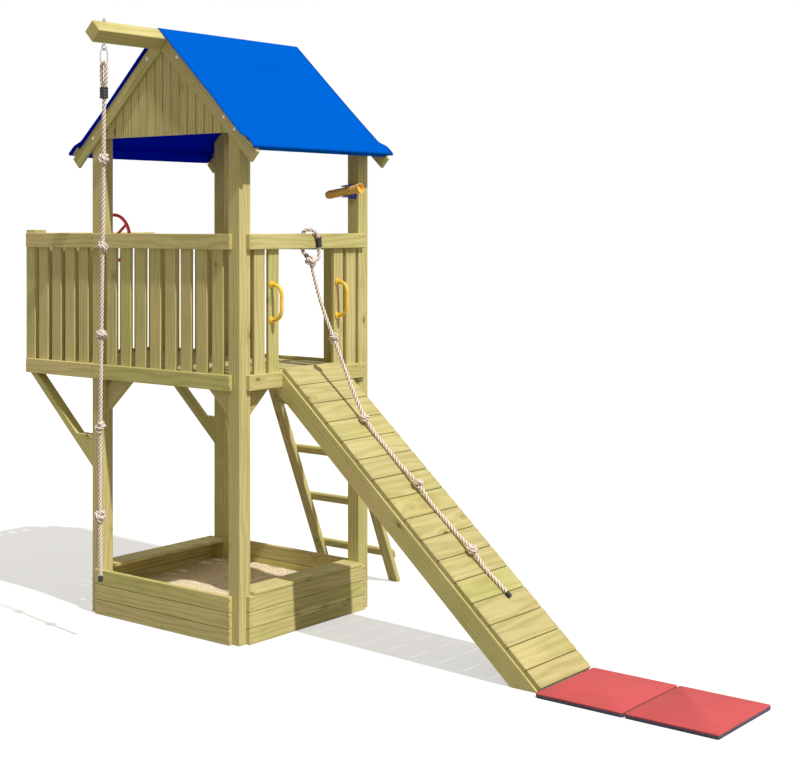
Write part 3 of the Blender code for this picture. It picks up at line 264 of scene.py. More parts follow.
def wood(name, grain, boards=None, rail=None, joint=0.0, seed=0.0, tone=1.0, spot=0.55):
    """Pressure-treated pine, with its grain along the first of the grain's axes.

    boards is (direction, start, pitch) of boards side by side in one node, and joint is the width
    of the V joints between them. rail is (grain, direction, least) of a rail in the same node,
    which lies beyond least in that direction. tone is a brightness, and spot the share of knots.
    """
    s = Shader(f"pine_{name}", 0.72)

    def placed(axes):
        return s.join(*(s.dot(axis) for axis in AXES.get(axes, axes)))

    where, number, seam = placed(grain), seed, None
    if boards:
        direction, start, pitch = boards
        steps = s.math("DIVIDE", s.minus(s.dot(direction), start), pitch)
        number = s.plus(s.math("FLOOR", steps), seed)
        if joint:
            away = s.math("ABSOLUTE", s.minus(steps, s.math("ROUND", steps)))
            seam = s.ramp(away, joint * 0.25 / pitch, joint / pitch, 1.0, 0.0)
    if rail:
        axes, direction, least = rail
        inside = s.math("GREATER_THAN", s.dot(direction), least)
        where = s.blend(inside, where, placed(axes), "VECTOR")
        number = s.plus(s.times(number, s.minus(1.0, inside)), s.times(inside, seed + RAIL_SEED))
    luck = s.chance(number)
    luck_2 = s.chance(s.plus(number, 11.3))
    where = s.vector("ADD", where, s.join(s.times(luck, 9.0), s.times(luck_2, 4.0), luck))
    # Knots, and the way the rings bend round them
    far, knot_luck = s.cells(s.vector("MULTIPLY", where, (4.2, 8.5, 8.5)), 1.0)
    kept = s.math("GREATER_THAN", s.split(knot_luck)[0], 1 - spot)
    knot = s.times(s.ramp(far, 0.05, 0.115, 1.0, 0.0), kept)
    halo = s.times(s.ramp(far, 0.06, 0.34, 1.0, 0.0), kept)
    # Rings, seen as long bands
    drift = s.noise(s.vector("MULTIPLY", where, (1.1, 8.0, 8.0)), 1.0, 2.0)
    _, across, deep = s.split(where)
    phase = s.plus(s.times(across, 300.0), s.times(deep, 190.0))
    phase = s.plus(s.plus(phase, s.times(drift, 26.0)), s.times(halo, 7.0))
    rings = s.math("POWER", s.scaled(s.math("SINE", phase), 0.5, 0.5), 1.7)
    fibre = s.noise(s.vector("MULTIPLY", where, (5.0, 330.0, 330.0)), 1.0)
    stain = s.noise(s.vector("MULTIPLY", where, (1.3, 9.0, 9.0)), 1.0, 4.0, 0.6)
    broad = s.noise(where, 2.3, 3.0, 0.6)
    # Straw to olive between boards and along them, darker late wood, brown knots in a green rim
    straw, olive, tan = (0.64, 0.56, 0.25), (0.47, 0.455, 0.16), (0.61, 0.46, 0.21)
    late, groove = (0.34, 0.28, 0.075), (0.34, 0.29, 0.09)
    rim, heart, joint_dark = (0.34, 0.31, 0.08), (0.16, 0.105, 0.035), (0.09, 0.075, 0.02)
    colour = s.blend(s.ramp(s.plus(s.times(luck, 0.36), broad), 0.5, 1.05), straw, olive)
    stained = s.times(s.ramp(stain, 0.52, 0.75), s.scaled(luck_2, 0.6, 0.2))
    colour = s.blend(stained, colour, tan)
    colour = s.blend(s.times(rings, s.scaled(broad, 0.7, 0.04)), colour, late)
    colour = s.blend(s.ramp(fibre, 0.46, 0.78, 0.0, 0.5), colour, groove)
    colour = s.blend(s.times(halo, 0.5), colour, rim)
    colour = s.blend(s.times(knot, 0.85), colour, heart)
    colour = s.vector("SCALE", colour, s.times(s.scaled(luck, 0.2, 0.97), tone))
    height = s.plus(s.times(fibre, 0.6), s.times(rings, 0.35))
    height = s.minus(height, s.times(knot, 0.5))
    if seam:
        colour = s.blend(s.times(seam, 0.8), colour, joint_dark)
        height = s.minus(height, s.times(seam, 3.0))
    s.bump(height, 0.35, 0.0012)
    return s.end(colour, s.ramp(s.plus(fibre, s.times(rings, 0.3)), 0.3, 1.1, 0.62, 0.84))


def darker(colour, share=0.82):
    return tuple(share * value for value in colour)


def plastic(name, colour, roughness):
    """Moulded plastic: faint clouding, fine mould texture and worn, duller patches."""
    s = Shader(name, roughness)
    cloud = s.noise(s.coords, 14.0)
    dull = s.noise(s.coords, 45.0, 4.0, 0.65)
    s.bump(s.noise(s.coords, 900.0, 2.0), 0.12, 0.0004)
    colour = s.blend(s.ramp(cloud, 0.35, 0.7), colour, darker(colour))
    return s.end(colour, s.ramp(dull, 0.45, 0.75, roughness, roughness + 0.2))


def steel(name, colour=(0.62, 0.62, 0.6), roughness=0.34):
    """Galvanised steel, with the soft patches of its zinc and a little dirt."""
    s = Shader(name, roughness, 1.0)
    patch, _ = s.cells(s.coords, 260.0)
    dirt = s.noise(s.coords, 60.0, 4.0, 0.6)
    colour = s.blend(s.ramp(patch, 0.0, 0.7), colour, darker(colour))
    colour = s.blend(s.ramp(dirt, 0.55, 0.8, 0.0, 0.5), colour, (0.25, 0.235, 0.21))
    s.bump(dirt, 0.15, 0.0005)
    return s.end(colour, s.ramp(dirt, 0.3, 0.8, roughness, roughness + 0.25))


def rope_fibre(name, light, dark, worn):
    """Laid rope: painted shade in the grooves between the strands, graded up to the pale crowns,
    and yarns twisted in each.
    """
    s = Shader(name, 0.85)
    stripe = s.scaled(s.math("SINE", s.times(s.attribute("yarn"), 75.0)), 0.5, 0.5)
    fuzz = s.noise(s.coords, 700.0, 3.0, 0.7)
    patch = s.noise(s.coords, 9.0)
    # Painted shade: the colour darkens from the crowns down into the grooves between the strands,
    # after the relief attribute.
    colour = s.blend(s.ramp(s.attribute("relief"), 0.05, 0.8), dark, light)
    colour = s.blend(s.times(stripe, 0.1), colour, dark)
    colour = s.blend(s.ramp(fuzz, 0.5, 0.8, 0.0, 0.25), colour, worn)
    colour = s.blend(s.ramp(patch, 0.45, 0.75, 0.0, 0.4), colour, darker(light, 0.8))
    s.bump(s.plus(s.times(stripe, 0.7), fuzz), 0.5, 0.0008)
    s.surface.inputs["Sheen Weight"].default_value = 0.2
    return s.end(colour, s.ramp(fuzz, 0.3, 0.7, 0.75, 0.95))


def black_tape():
    """The whippings' tape, rubbed grey in places."""
    s = Shader("black_whipping", 0.5)
    wear = s.noise(s.coords, 120.0, 4.0, 0.6)
    s.bump(s.noise(s.vector("MULTIPLY", s.coords, (60, 60, 900)), 1.0), 0.5, 0.0008)
    colour = s.blend(s.ramp(wear, 0.5, 0.8), (0.014, 0.015, 0.017), (0.07, 0.07, 0.08))
    return s.end(colour, s.ramp(wear, 0.3, 0.8, 0.42, 0.7))


WEAVE, STITCH = 0.0032, (0.02, 0.07, 0.3)


def tarp_cloth(name, colour, deeper, hem):
    """Coated, woven tarpaulin with welded hems and a line of stitches."""
    s = Shader(name, 0.6)
    s.surface.inputs["Specular IOR Level"].default_value = 0.0
    edge = s.attribute("edge")
    flat = s.attribute("cut", "Vector")
    u, v, _ = s.split(flat)
    weave = s.times(*(s.math("SINE", s.times(way, math.tau / WEAVE)) for way in (u, v)))
    broad = s.noise(flat, 2.2)
    crease = s.noise(flat, 7.0, 4.0, 0.6, 0.4)
    colour = s.blend(s.ramp(broad, 0.35, 0.75, 0.0, 0.5), colour, deeper)
    colour = s.blend(s.ramp(edge, 0.0205, 0.0225, 0.55, 0.0), colour, hem)
    seam = s.math("COMPARE", edge, 0.0185, 0.0009)
    dash = s.math("GREATER_THAN", s.math("SINE", s.times(s.plus(u, v), 900.0)), -0.3)
    colour = s.blend(s.times(s.times(seam, dash), 0.7), colour, STITCH)
    s.bump(s.plus(s.times(weave, 0.12), s.times(crease, 1.3)), 0.25, 0.003)
    return s.end(colour, s.ramp(crease, 0.3, 0.7, 0.52, 0.68))


def sand_grains():
    """Play sand, damp in patches, with pale and dark grains."""
    s = Shader("play_sand", 0.95)
    grain, tint = s.cells(s.coords, 260.0)
    clump = s.noise(s.coords, 34.0, 5.0, 0.7)
    broad = s.noise(s.coords, 6.0)
    pick = s.split(tint)[0]
    colour = s.blend(s.ramp(clump, 0.35, 0.7), (1.0, 0.88, 0.62), (0.99, 0.76, 0.51))
    colour = s.blend(s.ramp(pick, 0.72, 0.86), colour, (1.0, 0.93, 0.76))
    colour = s.blend(s.ramp(pick, 0.2, 0.1), colour, (0.45, 0.28, 0.17))
    colour = s.blend(s.ramp(broad, 0.45, 0.7, 0.0, 0.35), colour, (0.94, 0.70, 0.47))
    s.bump(s.plus(s.times(clump, 4.0), s.times(grain, -1.2)), 0.8, 0.004)
    return s.end(colour)


def granulate(name, colour, dark, speck):
    """Bonded rubber crumb."""
    s = Shader(name, 0.9)
    near, tint = s.cells(s.coords, 330.0)
    pick = s.split(tint)[1]
    broad = s.noise(s.coords, 5.0, 4.0, 0.6)
    colour = s.blend(s.ramp(near, 0.1, 0.75, 0.0, 0.7), colour, dark)
    colour = s.blend(s.ramp(pick, 0.9, 0.97, 0.0, 0.55), colour, speck)
    colour = s.blend(s.ramp(broad, 0.4, 0.75, 0.0, 0.3), colour, dark)
    s.bump(near, 0.55, -0.0015)
    return s.end(colour)


# ---- mesh building ----

def piece(name, mesh, materials, body="frame", stands_for=()):
    obj = bpy.data.objects.new(name, mesh)
    bpy.context.scene.collection.objects.link(obj)
    for material in materials:
        mesh.materials.append(material)
    if stands_for:
        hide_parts(*stands_for)
    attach(obj, body)
    return obj


def floats(mesh, name, values):
    mesh.attributes.new(name, "FLOAT", "POINT").data.foreach_set("value", values)


def around(radius, angle, height=0.0):
    """A point of a circle about Z."""
    return Vector((radius * math.cos(angle), radius * math.sin(angle), height))


def circle(sides):
    return [math.tau * number / sides for number in range(sides)]


def smooth(points, pieces):
    """Points of a Catmull-Rom curve through the given ones."""
    points = [Vector(point) for point in points]
    ends = [2 * points[0] - points[1], *points, 2 * points[-1] - points[-2]]
    found = []
    for before, start, end, after in zip(ends, ends[1:], ends[2:], ends[3:]):
        for number in range(pieces):
            t = number / pieces
            found.append(0.5 * (
                2 * start + (end - before) * t
                + (2 * before - 5 * start + 4 * end - after) * t * t
                + (3 * start - before - 3 * end + after) * t * t * t
            ))
    return [*found, points[-1]]


def distances(points):
    """How far along their line each point is."""
    found = [0.0]
    for first, second in zip(points, points[1:]):
        found.append(found[-1] + (second - first).length)
    return found


def evenly(points, step):
    """The same line with a point every step."""
    lengths = distances(points)
    count = max(2, round(lengths[-1] / step))
    found, index = [], 0
    for number in range(count + 1):
        at = lengths[-1] * number / count
        while index < len(points) - 2 and lengths[index + 1] < at:
            index += 1
        share = (at - lengths[index]) / (lengths[index + 1] - lengths[index])
        found.append(points[index].lerp(points[index + 1], share))
    return found


def band(shape, first, second):
    """Faces between two rings of as many points."""
    turned = [*first[1:], first[0]], [*second[1:], second[0]]
    return [shape.faces.new(corners) for corners in zip(first, *turned, second)]


def turned_form(profile, place, sides=24):
    """A body turned about the place's Z from (radius, height) points, which end on the axis."""
    shape = bmesh.new()
    rings = []
    for radius, height in profile:
        angles = circle(sides) if radius > 1e-6 else [0.0]
        rings.append([shape.verts.new(place @ around(radius, a, height)) for a in angles])
    for low, high in zip(rings, rings[1:]):
        for number in range(sides):
            following = (number + 1) % sides
            corners = [low[number % len(low)], low[following % len(low)],
                       high[following % len(high)], high[number % len(high)]]
            unique = list(dict.fromkeys(corners))
            if len(unique) > 2:
                shape.faces.new(unique)
    bmesh.ops.recalc_face_normals(shape, faces=shape.faces)
    return shape


def as_mesh(name, *shapes, angle=40):
    """One smooth-shaded mesh of these forms."""
    whole = bmesh.new()
    for shape in shapes:
        part = bpy.data.meshes.new("part")
        shape.to_mesh(part)
        shape.free()
        whole.from_mesh(part)
        bpy.data.meshes.remove(part)
    mesh = bpy.data.meshes.new(name)
    whole.to_mesh(mesh)
    whole.free()
    mesh.shade_smooth()
    mesh.set_sharp_from_angle(angle=math.radians(angle))
    return mesh


def towards(place, direction):
    turn = Vector(direction).to_track_quat("Z", "Y").to_matrix().to_4x4()
    return Matrix.Translation(place) @ turn


def whipping(place, radius, length, turns, depth):
    """Round turns of tape side by side, from the place along its Z."""
    profile = [(0, 0), (radius * 0.7, 0)]
    for number in range(turns):
        for share, out in ((0.12, 0.35), (0.3, 0.85), (0.5, 1), (0.7, 0.85), (0.88, 0.35)):
            profile.append((radius - depth * (1 - out), length * (number + share) / turns))
    return turned_form([*profile, (radius * 0.7, length), (0, length)], place)


# ---- ropes ----

# The second colour is the painted shade in the rope's grooves.
CREAM = rope_fibre("cream_rope", (0.97, 0.85, 0.78), (0.18, 0.105, 0.10), (0.55, 0.43, 0.37))
BLACK = black_tape()
STRANDS, LAY, ROPE_SIDES, ROPE_RING = 3, 0.078, 18, 0.0058
ROPE, KNOT_ROPE, RAMP_KNOT_ROPE = 0.0125, 0.0118, 0.0112
CLIMB_ROUTE = (
    (-0.635, 3.16), (-0.636, 3.02), (-0.637, 2.9), (-0.638, 2.768), (-0.641, 2.62),
    (-0.644, 2.45), (-0.647, 2.267), (-0.651, 2.1), (-0.655, 1.93), (-0.658, 1.76),
    (-0.661, 1.58), (-0.664, 1.4), (-0.667, 1.237), (-0.669, 1.06), (-0.67, 0.89),
    (-0.671, 0.728), (-0.67, 0.6), (-0.668, 0.47), (-0.665, 0.355),
)
ROPE_KNOTS_Z = (2.768, 2.267, 1.76, 1.237, 0.728)
LOOP_TOP_Z, LOOP_HALF_WIDTH, LOOP_ROPE, LOOP_HEIGHT, LOOP_STEPS = 3.3195, 0.02, 0.011, 0.15, 8
BINDING_TOP_Z, BINDING, BINDING_HEIGHT, END_HEIGHT = 3.1775, 0.025, 0.067, 0.034
RAIL_TIE_ROUTE = (
    (0.046, 0.595, -0.067), (0.044, 0.625, -0.06), (0.041, 0.634, -0.02), (0.041, 0.63, 0.04),
    (0.043, 0.61, 0.086), (0.032, 0.585, 0.11), (0.008, 0.563, 0.111), (-0.014, 0.555, 0.098),
    (-0.019, 0.551, 0.06), (-0.018, 0.548, 0.018), (-0.007, 0.545, -0.019),
    (0.02, 0.537, -0.034), (0.04, 0.538, -0.056), (0.05, 0.55, -0.082), (0.056, 0.557, -0.12),
    (0.077, 0.56, -0.196),
)
TIE_KNOT = (0.05, 0.552, -0.076)
STRAND_STEPS, ROPE_FROM = 16, 12
RAMP_ROPE_ROUTE = (
    (-0.1931, 0.57, 0.343), (-0.0914, 0.574, 0.2906), (0.0244, 0.58, 0.2385),
    (0.1446, 0.59, 0.1769), (0.271, 0.6, 0.1142), (0.3844, 0.605, 0.0666),
    (0.4861, 0.608, 0.0328), (0.5932, 0.612, 0.0154), (0.7197, 0.614, 0.014),
    (0.8688, 0.608, 0.017), (1.0069, 0.598, 0.0359), (1.1337, 0.604, 0.0156),
    (1.2544, 0.612, 0.0133), (1.377, 0.61, 0.0165), (1.4996, 0.602, 0.0349),
    (1.6087, 0.61, 0.0153), (1.7159, 0.622, 0.0132), (1.828, 0.633, 0.0132),
)
RAMP_ROPE_KNOTS = (2, 6, 10, 14)


def strand_relief(turn):
    """Radius, from 0 to 1, of a three-strand rope's section at an angle."""
    strand = 1 / (1 + 2 / math.sqrt(3))
    offset = 1 - strand
    half = math.pi / STRANDS
    angle = (turn + half) % (2 * half) - half
    inside = max(0.0, strand ** 2 - (offset * math.sin(angle)) ** 2)
    return offset * math.cos(angle) + math.sqrt(inside)


def laid_rope(name, points, radius, turn):
    """A rope along points: its mesh, its even centreline and the turn of its far end."""
    line = evenly(points, ROPE_RING)
    side = (line[1] - line[0]).normalized().orthogonal().normalized()
    sides, last = ROPE_SIDES, len(line) - 1
    verts, relief, yarn, faces = [], [], [], []
    for index, place in enumerate(line):
        ahead = (line[min(index + 1, last)] - line[max(index - 1, 0)]).normalized()
        side = (side - ahead * side.dot(ahead)).normalized()
        other = ahead.cross(side)
        if index:
            turn += math.tau * (place - line[index - 1]).length / LAY
        for angle in circle(sides):
            share = strand_relief(angle - turn)
            spoke = side * math.cos(angle) + other * math.sin(angle)
            verts.append(place + spoke * radius * share)
            # relief also sets the colour: painted shade in the grooves between the strands.
            relief.append((share - 0.5) * 2)
            yarn.append(index * ROPE_RING * 3 + math.sin(1.5 * (angle - turn)) * 0.12)
    for low in range(0, last * sides, sides):
        for number in range(sides):
            following = (number + 1) % sides
            faces.append((low + number, low + following, low + sides + following,
                          low + sides + number))
    faces.append(tuple(reversed(range(sides))))
    faces.append(tuple(range(last * sides, (last + 1) * sides)))
    mesh = bpy.data.meshes.new(name)
    mesh.from_pydata(verts, [], faces)
    floats(mesh, "relief", relief)
    floats(mesh, "yarn", yarn)
    mesh.shade_smooth()
    return mesh, line, turn


def rope_piece(name, points, radius, body, stands_for=(), turn=0.0):
    mesh, line, turn = laid_rope(name, points, radius, turn)
    return piece(name, mesh, [CREAM], body, stands_for), line, turn


def knot(name, centre, axis, size, core, rope, turn, lean, body):
    """A double turn round the rope, leaning, with its ends drawn in."""
    axis = Vector(axis).normalized()
    side = axis.orthogonal().normalized()
    side.rotate(Matrix.Rotation(turn, 3, axis))
    tilted = axis.copy()
    tilted.rotate(Matrix.Rotation(lean, 3, side))
    other = tilted.cross(side).normalized()
    steps, turns = 20, 1.9
    found = [centre + axis * (size * 0.75)]
    for number in range(steps + 1):
        t = number / steps
        angle = math.tau * turns * t
        reach = (size - core) * (1 + 0.1 * math.sin(angle * 1.3 + turn))
        spoke = side * math.cos(angle) + other * math.sin(angle)
        found.append(centre + spoke * reach + tilted * (0.5 - t) * (size * 1.05))
    found.append(centre - axis * (size * 0.75))
    return rope_piece(name, smooth(found, 3), rope, body)[0]


def climbing_rope():
    """The hanging rope: an eye in the hook, a whipping, five knots and a whipped end."""
    base = Vector((RIDGE_X, TACKLE_Y, 0)) + CORNER
    straight = LOOP_HEIGHT / 2 - LOOP_HALF_WIDTH
    middle = LOOP_TOP_Z - LOOP_HEIGHT / 2

    def leg(side, start):
        bend = []
        for number in range(start, LOOP_STEPS + 1):
            angle = math.pi / 2 * (1 - number / LOOP_STEPS)
            bend.append((math.cos(angle), middle + straight + LOOP_HALF_WIDTH * math.sin(angle)))
        bend += [(1, middle), (0.9, middle - straight * 0.7), (0.6, BINDING_TOP_Z + 0.006)]
        return [base + Vector((side * LOOP_HALF_WIDTH * out, 0, z)) for out, z in bend]

    hanging = [Vector((x, TACKLE_Y, z)) + CORNER for x, z in CLIMB_ROUTE]
    route = [*leg(1, 0), base + Vector((0.008, 0, BINDING_TOP_Z - 0.02)), *hanging[1:]]
    back = [*leg(-1, 1), base + Vector((-0.011, 0, BINDING_TOP_Z - 0.015))]
    rope, line, _ = rope_piece("climbing_rope_laid", smooth(route, 3), ROPE, "rope",
                               ["climbing_rope"])
    parts = [rope_piece("rope_eye_leg", smooth(back, 3), LOOP_ROPE, "rope", turn=1.0)[0]]
    for number, z in enumerate(ROPE_KNOTS_Z):
        x = next(x for x, height in CLIMB_ROUTE if height <= z + 0.001)
        parts.append(knot(f"climbing_knot_{number + 1}", Vector((x, TACKLE_Y, z)) + CORNER,
                          (0, 0, 1), 0.0335, 0.0115, KNOT_ROPE, 0.9 + 1.4 * number, 0.5, "rope"))
    down = (0, 0, -1)
    top = towards(base + Vector((0, 0, BINDING_TOP_Z)), down)
    tip = towards(line[-1] + Vector((0, 0, END_HEIGHT)), down)
    black = as_mesh("rope_whippings", whipping(top, BINDING, BINDING_HEIGHT, 4, 0.004),
                    whipping(tip, 0.0145, END_HEIGHT, 4, 0.0012))
    parts.append(piece("rope_whippings", black, [BLACK], "rope"))


def ramp_rope():
    """The rope tied to the upper rail, knotted, lying down the ramp."""
    rail = Vector((0, 0, TOP_RAIL_Z)) + CORNER
    tied = [Vector(point) + rail for point in RAIL_TIE_ROUTE]
    laid = [RAMP @ Vector(point) for point in RAMP_ROPE_ROUTE]
    tie = Vector(TIE_KNOT) + rail
    radius = ROPE * 0.96
    start = [tie + Vector((0, 0.014, 0)), *tied[:6]]
    strand, _, turn = rope_piece("tie_strand", smooth(start, 3)[:STRAND_STEPS], radius, "frame")
    rope, line, _ = rope_piece("ramp_rope_laid", smooth([*tied, *laid], 3)[ROPE_FROM:], radius,
                               "frame", ["ramp_rope"], turn)
    parts = [strand, knot("tie_knot", tie, (0.25, 0.1, -1), 0.0345, 0.0115, KNOT_ROPE, 2.2, 0.6,
                          "frame")]
    for number, index in enumerate(RAMP_ROPE_KNOTS):
        parts.append(knot(f"ramp_knot_{number + 1}", laid[index],
                          laid[index + 1] - laid[index - 1], 0.0305, 0.011, RAMP_KNOT_ROPE,
                          0.6 + 1.7 * number, 0.5, "frame"))
    # Black bands: a whipping over the rail, one round the tie's left leg, and a whipping at the
    # rope's end.
    wrap = towards(tied[2] + Vector((0, 0, 0.028)), tied[3] - tied[2])
    leg = towards(tied[11], tied[12] - tied[11])
    tip = towards(line[-1], line[-4] - line[-1])
    black = as_mesh("ramp_rope_whippings", whipping(wrap, 0.0185, 0.062, 3, 0.003),
                    whipping(leg, 0.0135, 0.03, 3, 0.0012),
                    whipping(tip, 0.0132, END_HEIGHT, 4, 0.0012))
    parts.append(piece("ramp_rope_whippings", black, [BLACK]))


# ---- roof sheet ----

BATTEN_START, BATTEN_END, COVER_LIFT, COVER_APEX_Z = 1.0, 1.063, 0.0226, 3.5523
SHEET, SLEEVE, TARP_FOLD = 0.003, 0.002, 0.012
SHEET_ROWS, SLEEVE_ROWS, SLEEVE_MARGIN = 48, 60, 0.006


def slope_point(along, lift, side):
    """A point down a roof slope and lifted off it, where side is 1 right and -1 left."""
    return CORNER + Vector((
        RIDGE_X + side * (along * math.cos(PITCH) + lift * math.sin(PITCH)), 0,
        ROOF_APEX_Z - along * math.sin(PITCH) + lift * math.cos(PITCH),
    ))


def cloth(name, verts, columns, edge, cut):
    """A sheet of points row by row, with their distance to its edge and their place laid flat."""
    corners = [row * columns + column for row in range(len(verts) // columns - 1)
               for column in range(columns - 1)]
    mesh = bpy.data.meshes.new(name)
    mesh.from_pydata(verts, [], [(c, c + columns, c + columns + 1, c + 1) for c in corners])
    floats(mesh, "edge", edge)
    flat = mesh.attributes.new("cut", "FLOAT_VECTOR", "POINT")
    flat.data.foreach_set("vector", [value for point in cut for value in point])
    mesh.shade_smooth()
    return mesh


def thicken(obj, thickness):
    thick = obj.modifiers.new("thickness", "SOLIDIFY")
    thick.thickness = thickness
    thick.offset = 0
    return thick


def eave_sleeve(side, name, material):
    """The tarp's hem between the rafters, under the eave batten and up its inner side."""
    under, inner, outer = -0.0032, BATTEN_START - 0.0036, BATTEN_END + 0.0019
    section = [(outer, 0.010), (outer, under + 0.002), (BATTEN_END, under),
               (BATTEN_START + 0.02, under - 0.001), (BATTEN_START - 0.001, under),
               (inner, under + 0.003), (inner, 0.012), (inner + 0.0002, COVER_LIFT - 0.003)]
    section = evenly(smooth([slope_point(*point, side) for point in section], 4), 0.004)
    verts, cut = [], []
    for index, point in enumerate(section):
        for row in range(SLEEVE_ROWS + 1):
            y = CORNER.y + SLEEVE_MARGIN + (DEPTH - 2 * SLEEVE_MARGIN) * row / SLEEVE_ROWS
            loose = 0.0009 * noise.noise(Vector((y * 11, index * 0.25, side)))
            verts.append(Vector((point.x, y, point.z + loose - 0.0006)))
            cut.append((y, index * 0.004, 0))
    mesh = cloth(f"eave_sleeve_{name}", verts, SLEEVE_ROWS + 1, [0.03] * len(verts), cut)
    sleeve = piece(f"eave_sleeve_{name}", mesh, [material], "frame")
    thicken(sleeve, SLEEVE)
    return sleeve


def roof_sheet():
    """The tarp: over the beam, down the rafters, up over the eave battens, folded at its edge."""
    low = SHEET / 2 + 0.0004
    ridge = Vector((RIDGE_X, 0, COVER_APEX_Z + low / math.cos(PITCH))) + CORNER
    end = BATTEN_END + low
    drape = [(along, lift + low) for along, lift in (
        (0.014, 0.0105), (0.3, 0.0067), (0.6, 0.0035), (0.86, 0.001), (0.925, 0.0012),
        (0.962, 0.0115), (BATTEN_START - 0.004, COVER_LIFT), (end - 0.012, COVER_LIFT),
    )]
    drape += [(end - 0.003, COVER_LIFT + low * 0.85), (end, COVER_LIFT - 0.003),
              (end, COVER_LIFT - TARP_FOLD)]
    half = evenly(smooth([ridge, *(slope_point(*point, 1) for point in drape)], 6), 0.012)
    profile = [Vector((2 * ridge.x - p.x, 0, p.z)) for p in reversed(half[1:])] + half
    distance = distances(profile)
    total = distance[-1]
    verts, edge, cut = [], [], []
    for index, point in enumerate(profile):
        at = distance[index]
        down = abs(at - total / 2) / (total / 2)
        flare = 0.038 + 0.016 * max(0.0, (down - 0.55) / 0.45) ** 1.3
        broad = DEPTH + 2 * flare
        side = -1 if point.x < ridge.x else 1
        normal = Vector((side * math.sin(PITCH), 0, math.cos(PITCH)))
        hollow = math.sin(math.pi * min(1, max(0, (down - 0.03) / 0.85))) ** 1.2
        for row in range(SHEET_ROWS + 1):
            v = row / SHEET_ROWS
            y = CORNER.y - flare + v * broad
            ripple = noise.noise(Vector((at * 2.1, y * 3.1, side * 2.0))) * (down < 0.88)
            sag = math.sin(math.pi * v) * (0.0016 * ripple - 0.007 * hollow)
            verts.append(Vector((point.x, y, point.z)) + normal * sag)
            edge.append(min(at, total - at, min(v, 1 - v) * broad))
            cut.append((y, at, 0))
    mesh = cloth("roof_sheet", verts, SHEET_ROWS + 1, edge, cut)
    shape = bmesh.new()
    shape.from_mesh(mesh)
    bmesh.ops.recalc_face_normals(shape, faces=shape.faces)
    if sum(face.normal.z for face in shape.faces) < 0:
        bmesh.ops.reverse_faces(shape, faces=shape.faces)
    shape.to_mesh(mesh)
    shape.free()
    outside = tarp_cloth("blue_tarp", (0.0, 0.105, 0.58), (0.0, 0.093, 0.53), (0.0, 0.08, 0.46))
    # The underside is a brighter, purer blue than the outside: painted light, standing in for
    # daylight that shines through the cloth.
    inside = tarp_cloth("blue_tarp_underside_painted_through_light", (0.0, 0.012, 0.95), (0.0, 0.008, 0.8),
                        (0.0, 0.006, 0.6))
    sheet = piece("roof_sheet", mesh, [outside, inside], "frame", ["roof_tarp"])
    thicken(sheet, SHEET).material_offset = 1
    # The left sleeve, seen from under the roof, takes the underside's painted through-light
    # colour; the right one takes the outside's.
    sleeves = [eave_sleeve(-1, "left", inside), eave_sleeve(1, "right", outside)]


# ---- sand and mats ----

SAND_Z, SAND_FOOT_Z, SAND_ACROSS, SAND_DEEP = 0.14, 0.001, 96, 86
MAT_CORNER, MAT_STEP, MAT_LIFT = 0.006, 0.0125, 0.0002
MAT_LEVELS = ((0.0, 0.004), (0.0, 0.0015), (0.35, 0.0006), (0.66, 0.0), (0.70, 0.0016),
              (0.74, 0.0), (0.94, 0.0), (1.0, 0.0022))
SCALLOPED, ROUGH, RED_FROM = 0.3, 0.7, 4


def sand():
    """Raked, trodden sand between the posts and the sandbox sides."""
    xs = [-WIDTH + GAP + (WIDTH - 2 * GAP) * n / SAND_ACROSS for n in range(SAND_ACROSS + 1)]
    ys = [GAP + (DEPTH - 2 * GAP) * n / SAND_DEEP for n in range(SAND_DEEP + 1)]

    def level(x, y):
        z = SAND_Z + 0.01 * (math.sin(6.1 * x + 2.3 * y) + math.sin(9.7 * y - 3.1 * x + 1.2))
        for height, often, layer in ((0.006, 9, 1.0), (0.004, 23, 4.0), (0.002, 55, 8.0)):
            z += height * noise.noise(Vector((x * often, y * often, layer)))
        return z

    shape = bmesh.new()
    grid = [[shape.verts.new(Vector((x, y, level(x, y))) + CORNER) for y in ys] for x in xs]
    for i in range(SAND_ACROSS):
        for j in range(SAND_DEEP):
            between_x = xs[i] >= -WIDTH + POST and xs[i + 1] <= -POST
            between_y = ys[j] >= POST and ys[j + 1] <= DEPTH - POST
            if between_x or between_y:
                shape.faces.new((grid[i][j], grid[i + 1][j], grid[i + 1][j + 1], grid[i][j + 1]))
    loose = [vertex for vertex in shape.verts if not vertex.link_faces]
    bmesh.ops.delete(shape, geom=loose, context="VERTS")
    rim = [edge for edge in shape.edges if edge.is_boundary]
    for item in bmesh.ops.extrude_edge_only(shape, edges=rim)["geom"]:
        if isinstance(item, bmesh.types.BMVert):
            item.co.z = SAND_FOOT_Z
    rim = [edge for edge in shape.edges if edge.is_boundary]
    bmesh.ops.holes_fill(shape, edges=rim, sides=0)
    bmesh.ops.recalc_face_normals(shape, faces=shape.faces)
    mesh = as_mesh("raked_sand", shape, angle=60)
    piece("raked_sand", mesh, [sand_grains()], "frame", ["sand_fill"])


